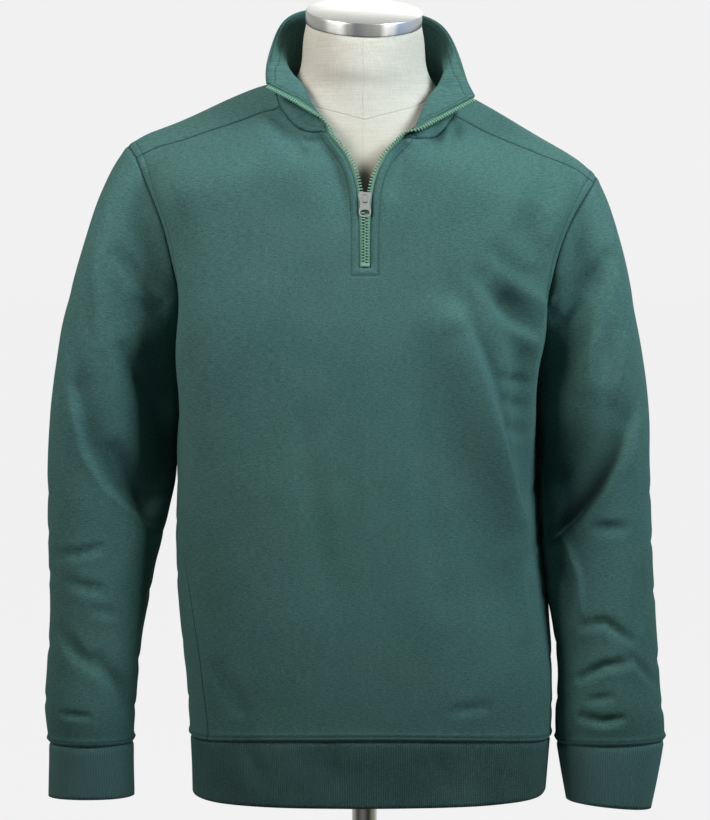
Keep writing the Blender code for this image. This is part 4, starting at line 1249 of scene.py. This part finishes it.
def newGroup(name, inputs, output):
    group = bpy.data.node_groups.new(name, "ShaderNodeTree")
    for label, (kind, value) in inputs.items():
        socket = group.interface.new_socket(
            label, in_out="INPUT", socket_type="NodeSocket" + kind
        )
        if value is not None:
            socket.default_value = value
    label, kind = output
    group.interface.new_socket(label, in_out="OUTPUT", socket_type="NodeSocket" + kind)
    return group, group.nodes.new("NodeGroupInput").outputs, group.nodes.new("NodeGroupOutput")


def newMaterial(name, roughness, metallic=0.0, colour=None, **sockets):
    material = bpy.data.materials.new(name)
    material.use_nodes = True
    tree = material.node_tree
    shader = tree.nodes["Principled BSDF"]
    values = {"Roughness": roughness, "Metallic": metallic, "Base_Color": colour, **sockets}
    for label, value in values.items():
        feed(tree, shader.inputs[label.replace("_", " ")], value)
    return material, tree, shader


def connect(tree, shader, colour, normal):
    tree.links.new(colour, shader.inputs["Base Color"])
    tree.links.new(normal, shader.inputs["Normal"])


# Colours and knit.

knitColours = {
    "light": (0.100, 0.200, 0.180, 1),
    "main": (0.061, 0.142, 0.121, 1),
    "deep": (0.034, 0.086, 0.078, 1),
    "blue": (0.057, 0.140, 0.144, 1),
    # seam: darkens seams and topstitching, the dark of seam and thread with painted shade in their
    # grooves
    "seam": (0.014, 0.036, 0.032, 1),
    # crease: painted shade for the bottoms of the deep folds and the sleeves' inner sides
    "crease": (0.006, 0.015, 0.014, 1),
    # hem and cuff: one rib knit, darkened with painted shade for the hem band and lightened with
    # painted light for the cuffs
    "hem": (0.038, 0.078, 0.071, 1),
    "cuff": (0.108, 0.222, 0.212, 1),
    "thread": (0.026, 0.068, 0.060, 1),
    "zipTape": (0.068, 0.18, 0.122, 1),
    "zipTeeth": (0.175, 0.345, 0.245, 1),
    "zipGuard": (0.092, 0.225, 0.158, 1),
}
knitSheen = {
    "Sheen_Roughness": 0.45, "Sheen_Tint": (0.40, 0.80, 0.72, 1), "Specular_IOR_Level": 0.08,
}  # fmt: skip


# Heathered yarn: long faint streaks along the courses, fine flecks, slow drifts of colour.
def buildHeather():
    inputs = {
        "Weave": ("Vector", None), "Place": ("Vector", None),
        "Main": ("Color", knitColours["main"]), "Light": ("Color", knitColours["light"]),
        "Deep": ("Color", knitColours["deep"]), "Blue": ("Color", knitColours["blue"]),
        "Flecks": ("Float", 1.0),
    }  # fmt: skip
    group, given, out = newGroup("heatherYarn", inputs, ("Color", "Color"))
    weave, place = given["Weave"], given["Place"]
    streak = noiseOf(group, stretched(group, weave, (170, 760, 1)), detail=3, rough=0.65)
    fleck = noiseOf(group, stretched(group, weave, (460, 1000, 1)), rough=0.6)
    drift = ranged(group, noiseOf(group, place, 5.5, 2, 0.55), 0.42, 0.66, (0.0, 0.6))
    cloud = ranged(group, noiseOf(group, place, 21, 3, 0.6), 0.35, 0.75, (0.0, 0.35))
    colour = mixed(group, drift, given["Main"], given["Blue"])
    colour = mixed(group, cloud, colour, given["Light"])
    for source, low, high, strength, shade in (
        (streak, 0.5, 0.68, 0.55, "Light"),
        (streak, 0.5, 0.32, 0.55, "Deep"),
        (fleck, 0.52, 0.68, 0.6, "Light"),
        (fleck, 0.48, 0.32, 0.6, "Deep"),
    ):
        share = calc(group, "MULTIPLY", ranged(group, source, low, high), given["Flecks"])
        colour = mixed(group, calc(group, "MULTIPLY", share, strength), colour, given[shade])
    group.links.new(colour, out.inputs["Color"])
    return group


def buildKnit():  # small upright chevrons, wales across and courses along
    inputs = {"Weave": ("Vector", None), "Wale": ("Float", 0.0011), "Course": ("Float", 0.0009)}
    group, given, out = newGroup("plainKnit", inputs, ("Height", "Float"))
    weave = partsOf(group, given["Weave"])
    across = calc(group, "DIVIDE", weave["X"], given["Wale"])
    along = calc(group, "DIVIDE", weave["Y"], given["Course"])
    wale = calc(group, "PINGPONG", across, 0.5)
    chevron = calc(group, "PINGPONG", calc(group, "MULTIPLY_ADD", wale, 1.6, along), 0.5)
    curve = calc(group, "SINE", calc(group, "MULTIPLY", wale, math.tau))
    height = calc(group, "MULTIPLY_ADD", chevron, 0.8, calc(group, "MULTIPLY", curve, 0.6))
    group.links.new(height, out.inputs["Height"])
    return group


def yarnOf(tree, weave, place, main, blue, flecks):
    inputs = {
        "Weave": weave, "Place": place, "Main": main, "Blue": blue, "Flecks": flecks,
        "Light": knitColours["light"], "Deep": knitColours["deep"],
    }  # fmt: skip
    return addNode(tree, "Group", inputs, node_tree=heatherYarn).outputs["Color"]


def buildFleece():
    material, tree, shader = newMaterial("greenFleece", 0.95, Sheen_Weight=0.10, **knitSheen)
    weave, place = weaveOf(tree), placeOf(tree)
    colour = yarnOf(tree, weave, place, knitColours["main"], knitColours["blue"], 1.0)
    stitched = calc(tree, "ABSOLUTE", attributeOf(tree, "stitchAway"))
    # The cloth darkens at the seams and along the topstitching: the dark of the seam and the thread,
    # with painted shade in their grooves.
    seam = ranged(tree, attributeOf(tree, "toSeam"), 0.2, 1.5, (0.62, 0.0))
    thread = ranged(tree, stitched, 0.2, 1.1, (0.34, 0.0))
    for share in (seam, thread):
        colour = mixed(tree, share, colour, knitColours["seam"])
    # painted shade in the deep folds and on the sleeves' inner sides behind the body
    colour = mixed(tree, attributeOf(tree, "paintedFoldShade"), colour, knitColours["crease"])
    knitSize = {"Weave": weave, "Wale": 0.0012, "Course": 0.0010}
    face = addNode(tree, "Group", knitSize, node_tree=plainKnit).outputs["Height"]
    normal = bumped(tree, noiseOf(tree, place, 60, 3, 0.55), 0.9, 0.5)
    normal = bumped(tree, ranged(tree, stitched, 0.0, 2.4), 0.8, 0.7, normal)
    normal = bumped(tree, noiseOf(tree, weave, 700, 3, 0.7), 0.35, 0.6, normal)
    normal = bumped(tree, face, 0.12, 0.5, normal)
    connect(tree, shader, colour, normal)
    return material


def buildRib(name, tone):
    material, tree, shader = newMaterial(name, 0.95, Sheen_Weight=0.08, **knitSheen)
    weave = weaveOf(tree)
    yarn = yarnOf(tree, weave, placeOf(tree), tone, tone, 0.7)
    turns = calc(tree, "MULTIPLY", partsOf(tree, weave)["X"], math.tau / 0.0024)
    wave = calc(tree, "SINE", turns)
    # Painted shade in the rib's valleys, multiplied into the yarn's colour.
    groove = ranged(tree, wave, -1.0, 0.2, (0.55, 1.0))
    normal = bumped(tree, wave, 0.35, 0.8)
    normal = bumped(tree, noiseOf(tree, weave, 800, 3, 0.7), 0.3, 0.5, normal)
    connect(tree, shader, mixed(tree, 0.34, yarn, groove, "MULTIPLY"), normal)
    return material


def addPiece(obj, slot, *materials, replaced=None):
    obj.data.materials.clear()
    for material in materials:
        obj.data.materials.append(material)
    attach(obj, mainBody)
    if replaced:
        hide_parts(replaced)


def thicken(obj, thickness):
    wall = obj.modifiers.new("wall", "SOLIDIFY")
    wall.thickness = thickness * mm
    wall.offset = -1
    wall.use_even_offset = False
    wall.use_rim = True
    applyModifiers(obj)


print("materials")
heatherYarn = buildHeather()
plainKnit = buildKnit()
fleece = buildFleece()
# The same rib in two tones: painted shade on the hem band, painted light on the cuffs.
hemRibPaintedShade = buildRib("greenHemRibPaintedShade", knitColours["hem"])
cuffRibPaintedLight = buildRib("greenCuffRibPaintedLight", knitColours["cuff"])

threadColour = knitColours["thread"]
thread = newMaterial("greenThread", 0.7, colour=threadColour, Specular_IOR_Level=0.3)[0]
for piece in threads.values():
    addPiece(piece, "green_fleece", thread)
for side in sides:
    tape, teeth = (
        newMaterial(f"{part}{side.title()}", 0.55, colour=knitColours[part])[0]
        for part in ("zipTape", "zipTeeth")
    )
    addPiece(zipTapes[side], "zip_tape", tape, replaced=f"zip_tape_{side}")
    addPiece(zipTeeth[side], "zip_tape", teeth)
guardKnit = newMaterial("zipGuardKnit", 0.8, colour=knitColours["zipGuard"])[0]
addPiece(zipGuard, "zip_tape", guardKnit)
addPiece(zipStop, "zip_tape", zipTeeth["left"].data.materials[0])

print("cloth: walls")
for name, obj in sheets.items():
    knit = fleece if name not in ribPieces else hemRibPaintedShade if name == "hem_band" else cuffRibPaintedLight
    slot = "green_rib" if name in ribPieces else "green_fleece"
    thicken(obj, pieceThickness[name])
    addPiece(obj, slot, knit, replaced=name)

# The cut of each sheet as it shows: flat width and length, flat area, in metres.

flatCuts = {
    "front": ((0.560, 0.660), 0.2934, "hung", ("form_torso",)),
    "back": ((0.580, 0.700), 0.3376, "hung", ("form_torso",)),
    "sleeve_left": ((0.460, 0.600), 0.1920, "hung", ("front", "back")),
    "sleeve_right": ((0.440, 0.590), 0.1743, "hung", ("front", "back")),
    "collar": ((0.440, 0.085), 0.0269, "folded", ("front", "back")),
    "collar_facing": ((0.440, 0.085), 0.0269, "folded", ("collar",)),
    "cuff_left": ((0.230, 0.062), 0.0137, "gathered", ("sleeve_left",)),
    "cuff_right": ((0.290, 0.062), 0.0178, "gathered", ("sleeve_right",)),
    "hem_band": ((0.940, 0.062), 0.0564, "gathered", ("front", "back")),
}
for name, (flat, area, held, upon) in flatCuts.items():
    pieces = [threads[name]] if name in threads else []
    if name == "front":
        pieces += [*zipTapes.values(), *zipTeeth.values(), zipGuard, zipStop]

# The dress form and its stand.

formSetup = {
    "smooth": 2,
    "neckSeam": (872, 0.265, 0.30),  # height at the front, rise to the sides, rise to the back
    "backFrom": -60,
    "middleSeam": -2.0,
    "neck": (0.075, 922, 26),  # how much narrower it is, at which height, and the reach
    "level": 0.9,  # the end faces' normals are nearer upright than this
    "ends": (2, 30),  # and lie this near to the lower and the upper end
}


def openTube(nodeName):  # the node's side as four-sided faces, without its flat ends
    tube = shellOf(nodeName, clothSetup["weld"])
    heights = [v.co.z for v in tube.verts]
    below, above = (room * mm for room in formSetup["ends"])
    ends = []
    for face in tube.faces:
        height = face.calc_center_median().z
        atEnd = height - min(heights) < below or max(heights) - height < above
        if atEnd and abs(face.normal.z) > formSetup["level"]:
            ends.append(face)
    bmesh.ops.delete(tube, geom=ends, context="FACES")
    pairTriangles(tube)
    return meshFrom(tube, nodeName)


def closeEnds(mesh):
    shell = bmesh.new()
    shell.from_mesh(mesh)
    bmesh.ops.holes_fill(shell, edges=[e for e in shell.edges if len(e.link_faces) == 1])
    bmesh.ops.recalc_face_normals(shell, faces=shell.faces)
    shell.to_mesh(mesh)
    shell.free()


def modelForm():
    form = addObject("formTorso", openTube("form_torso"))
    subdivide(form, formSetup["smooth"])
    points = pointsOf(form)
    narrower, middle, reach = formSetup["neck"]
    points[:, 0] *= 1 - narrower * bell((points[:, 2] - middle) / reach)
    movePoints(form, points)
    height, toSides, toBack = formSetup["neckSeam"]
    height += np.abs(points[:, 0]) * toSides
    height += np.maximum(points[:, 1] - formSetup["backFrom"], 0) * toBack
    upright = np.where(points[:, 1] < 0, points[:, 0] - formSetup["middleSeam"], 50)
    writeValue(form, "neckSeam", points[:, 2] - height)
    writeValue(form, "middleSeam", upright)
    closeEnds(form.data)
    form.data.shade_smooth()
    return form


linenColours = {
    "thread": (0.54, 0.505, 0.425, 1),
    "pale": (0.63, 0.60, 0.52, 1),
    "slub": (0.49, 0.455, 0.365, 1),
    "drift": (0.62, 0.60, 0.53, 1),
    # below: painted shade, warmer and darker, on the chest toward the zip's V
    "below": (0.60, 0.53, 0.40, 1),  # toward the zip
    "seam": (0.42, 0.36, 0.26, 1),
}


def buildLinen():  # warp and weft of uneven thread, with seams
    material, tree, shader = newMaterial(
        "ivoryLinen", 0.85, Sheen_Weight=0.08, Sheen_Roughness=0.5, Specular_IOR_Level=0.25
    )
    place = placeOf(tree)
    warp = noiseOf(tree, stretched(tree, place, (1000, 1000, 45)), rough=0.5)
    weft = noiseOf(tree, stretched(tree, place, (45, 45, 1000)), rough=0.5)
    slub = noiseOf(tree, stretched(tree, place, (14, 14, 420)), 1.0, 3, 0.6)
    thread = calc(tree, "ADD", warp, weft)
    across = calc(tree, "ABSOLUTE", attributeOf(tree, "neckSeam"))
    upright = calc(tree, "ABSOLUTE", attributeOf(tree, "middleSeam"))
    # Painted shade: the linen darkens and warms from the neck down toward the zip's V, where the
    # garment shades the form.
    below = ranged(tree, partsOf(tree, place)["Z"], 0.880, 0.795)
    colour = mixed(tree, ranged(tree, thread, 0.75, 1.25), linenColours["thread"], linenColours["pale"])
    for share, name in (
        (ranged(tree, slub, 0.50, 0.80, (0, 0.25)), "slub"),
        (ranged(tree, noiseOf(tree, place, 14, 3, 0.55), 0.35, 0.75, (0, 0.25)), "drift"),
        (calc(tree, "MULTIPLY", below, 0.8), "below"),
        (ranged(tree, across, 0.2, 0.75, (0.5, 0.0)), "seam"),
        (ranged(tree, upright, 0.1, 0.6, (0.12, 0.0)), "seam"),
    ):
        colour = mixed(tree, share, colour, linenColours[name])
    seam = calc(tree, "MINIMUM", across, calc(tree, "MULTIPLY", upright, 4.0))
    normal = bumped(tree, thread, 0.25, 0.55)
    connect(tree, shader, colour, bumped(tree, ranged(tree, seam, 0.0, 1.2), 0.5, 0.6, normal))
    return material


# Brushed steel: fine lines round it, and painted reflections of a room's soft light and dark along its
# side.
def buildSteel(name, paintedReflections, grain):
    material, tree, shader = newMaterial(name, 0.34, 1.0)
    place = placeOf(tree)
    parts = partsOf(tree, place)
    turn = calc(tree, "ARCTAN2", parts["X"], calc(tree, "MULTIPLY", parts["Y"], -1.0))
    share = ranged(tree, turn, -math.pi / 2, math.pi / 2)
    ramp = addNode(tree, "ValToRGB", {"Fac": share})
    ramp.color_ramp.interpolation = "EASE"
    while len(ramp.color_ramp.elements) < len(paintedReflections):
        ramp.color_ramp.elements.new(0.5)
    for element, (at, colour) in zip(ramp.color_ramp.elements, paintedReflections):
        element.position = at
        element.color = (*colour, 1)
    lines = noiseOf(tree, stretched(tree, place, grain), 1.0, 3, 0.6)
    fine = ranged(tree, lines, 0.3, 0.7, (0.86, 1.06))
    colour = mixed(tree, 1.0, ramp.outputs["Color"], fine, "MULTIPLY")
    connect(tree, shader, colour, bumped(tree, lines, 0.08, 0.35))
    tree.links.new(ranged(tree, lines, 0.3, 0.7, (0.28, 0.42)), shader.inputs["Roughness"])
    return material


def buildPlate():
    material, tree, shader = newMaterial("plateSteel", 0.42, 1.0)
    lines = noiseOf(tree, stretched(tree, placeOf(tree), (40, 700, 700)), 1.0, 3, 0.6)
    share = ranged(tree, lines, 0.3, 0.7)
    colour = mixed(tree, share, (0.36, 0.36, 0.335, 1), (0.46, 0.46, 0.43, 1))
    connect(tree, shader, colour, bumped(tree, lines, 0.05, 0.3))
    return material


# Painted reflections of the room round the steel's side: where along the turn, and the colour.
capPaintedReflections = [
    (0.00, (0.40, 0.40, 0.38)), (0.29, (0.34, 0.34, 0.31)), (0.345, (0.80, 0.80, 0.77)),
    (0.385, (0.95, 0.95, 0.92)), (0.425, (0.36, 0.36, 0.35)), (0.46, (0.20, 0.21, 0.22)),
    (0.52, (0.32, 0.32, 0.30)), (0.565, (0.38, 0.38, 0.35)), (0.60, (0.95, 0.95, 0.90)),
    (0.63, (0.80, 0.82, 0.82)), (0.67, (0.36, 0.44, 0.56)), (0.75, (0.46, 0.49, 0.52)),
    (1.00, (0.42, 0.42, 0.40)),
]  # fmt: skip
polePaintedReflections = [
    (0.00, (0.60, 0.60, 0.58)), (0.20, (0.32, 0.30, 0.27)), (0.32, (0.07, 0.07, 0.07)),
    (0.46, (0.16, 0.16, 0.15)), (0.60, (0.04, 0.04, 0.04)), (0.75, (0.28, 0.28, 0.20)),
    (0.90, (0.62, 0.62, 0.60)), (1.00, (0.70, 0.70, 0.70)),
]  # fmt: skip

print("dress form")
addPiece(modelForm(), "form_linen", buildLinen(), replaced="form_torso")

standSetup = {
    "weld": 0.01,
    "flat": 0.02,  # radians between the faces of one plane
    "softened": 50, "smooth": 40,  # degrees
    "upward": 0.93,  # what faces up more than this is plate steel
}  # fmt: skip


def hardCopy(nodeName, name, bevel, *materials):  # a hard node again with softened edges
    shell = shellOf(nodeName, standSetup["weld"])
    inner = [e for e in shell.edges if len(e.link_faces) == 2]
    flat = [e for e in inner if e.calc_face_angle(1) < standSetup["flat"]]
    bmesh.ops.dissolve_edges(shell, edges=flat, use_verts=True)
    obj = addObject(name, meshFrom(shell, name))
    soften = obj.modifiers.new("soften", "BEVEL")
    soften.width = bevel * mm
    soften.segments = 3
    soften.limit_method = "ANGLE"
    soften.angle_limit = math.radians(standSetup["softened"])
    applyModifiers(obj)
    obj.select_set(True)
    bpy.ops.object.shade_smooth_by_angle(angle=math.radians(standSetup["smooth"]))
    obj.select_set(False)
    addPiece(obj, "brushed_steel", *materials, replaced=nodeName)
    for face in obj.data.polygons:
        face.material_index = int(len(materials) > 1 and face.normal.z > standSetup["upward"])


print("stand")
capSteel = buildSteel("capSteel", capPaintedReflections, (60, 60, 1600))
poleSteel = buildSteel("poleSteel", polePaintedReflections, (700, 700, 20))
plateSteel = buildPlate()
hardCopy("neck_cap", "neckCap", 0.9, capSteel, plateSteel)
hardCopy("pole", "standPole", 0.4, poleSteel)
hardCopy("stand_base", "standBase", 1.2, capSteel, plateSteel)

zincMetal, zincTree, zincShader = newMaterial("zincMetal", 0.26, 1.0)
# Painted shade: the zinc darkens toward its rims, where they turn from the camera.
edge = addNode(zincTree, "LayerWeight", {"Blend": 0.42}).outputs["Facing"]
edge = ranged(zincTree, edge, 0.05, 0.75)
zincPaintedEdgeShade = mixed(zincTree, edge, (0.40, 0.41, 0.40, 1), (0.04, 0.042, 0.04, 1))
zincTree.links.new(zincPaintedEdgeShade, zincShader.inputs["Base Color"])
for name in ("zip_slider", "zip_pull"):
    for slot in nodes[name].material_slots:
        slot.material = zincMetal

# Studio: pale sweep, soft lamps, and the camera.

studio = {
    "paper": (0.88, 0.88, 0.88, 1),
    "floor": (0.30, 0.30, 0.30, 1),
    "floorGlow": (0.938, 0.938, 0.938, 1),
    "glowShare": 0.93,
    "floorSize": 40,
    "ambient": 0.055,
    "cameraAt": (-0.0095, -3.2, 0.810),
    "lookAt": (-0.0095, 0.0, 0.585),
    "lens": 141.1,
}
lamps = [  # name, place, aim, size, watts, colour, spread in degrees
    ("leftSoftbox", (-1.12, -0.98, 1.70), (0, 0, 0.86), (0.7, 0.7), 5.2, (0.99, 0.99, 0.975), 80),
    ("rightSoftbox", (1.25, -0.88, 1.66), (0, 0, 0.86), (0.7, 0.7), 6.9, (0.87, 1.0, 1.08), 78),
    ("backSoftbox", (0.5, 1.7, 1.7), (0, 0, 0.6), (1.4, 0.8), 14, (1, 1, 1), 180),
]


def seenBy(tree):  # one for what the camera or a reflection sees, none for the light itself
    rays = addNode(tree, "LightPath").outputs
    return calc(tree, "MAXIMUM", rays["Is Camera Ray"], rays["Is Glossy Ray"])


def paperMaterial():
    material = bpy.data.materials.new("paleSweep")
    material.use_nodes = True
    tree = material.node_tree
    tree.nodes.clear()
    out = addNode(tree, "OutputMaterial")
    matte = addNode(tree, "BsdfDiffuse", {"Color": studio["floor"]})
    glow = addNode(tree, "Emission", {"Color": studio["floorGlow"]})
    share = calc(tree, "MULTIPLY", seenBy(tree), studio["glowShare"])
    mix = addNode(tree, "MixShader", {0: share, 1: matte.outputs[0], 2: glow.outputs[0]})
    tree.links.new(mix.outputs[0], out.inputs["Surface"])
    return material


def aimed(obj, place, aim):
    obj.location = place
    obj.rotation_euler = (Vector(aim) - Vector(place)).to_track_quat("-Z", "Y").to_euler()


def areaLamp(name, place, aim, size, power, colour, spread):
    data = bpy.data.lights.new(name, "AREA")
    data.shape = "RECTANGLE"
    data.size, data.size_y = size
    data.energy = power
    data.color = colour
    data.spread = math.radians(spread)
    aimed(addObject(name, data), place, aim)


print("studio")
bpy.ops.mesh.primitive_plane_add(size=studio["floorSize"], location=(0, 0, 0))
floor = bpy.context.object
floor.name = "floor"
floor.data.materials.append(paperMaterial())
floor.select_set(False)

world = bpy.data.worlds.new("studio")
scene.world = world
world.use_nodes = True
backdrop = world.node_tree.nodes["Background"].inputs
backdrop["Color"].default_value = studio["paper"]
glow = ranged(world.node_tree, seenBy(world.node_tree), 0, 1, (studio["ambient"], 1.0))
world.node_tree.links.new(glow, backdrop["Strength"])

for lamp in lamps:
    areaLamp(*lamp)

camera = addObject("camera", bpy.data.cameras.new("camera"))
scene.camera = camera
camera.data.lens = studio["lens"]
camera.data.clip_end = 100
aimed(camera, studio["cameraAt"], studio["lookAt"])
scene.view_settings.view_transform = "Standard"
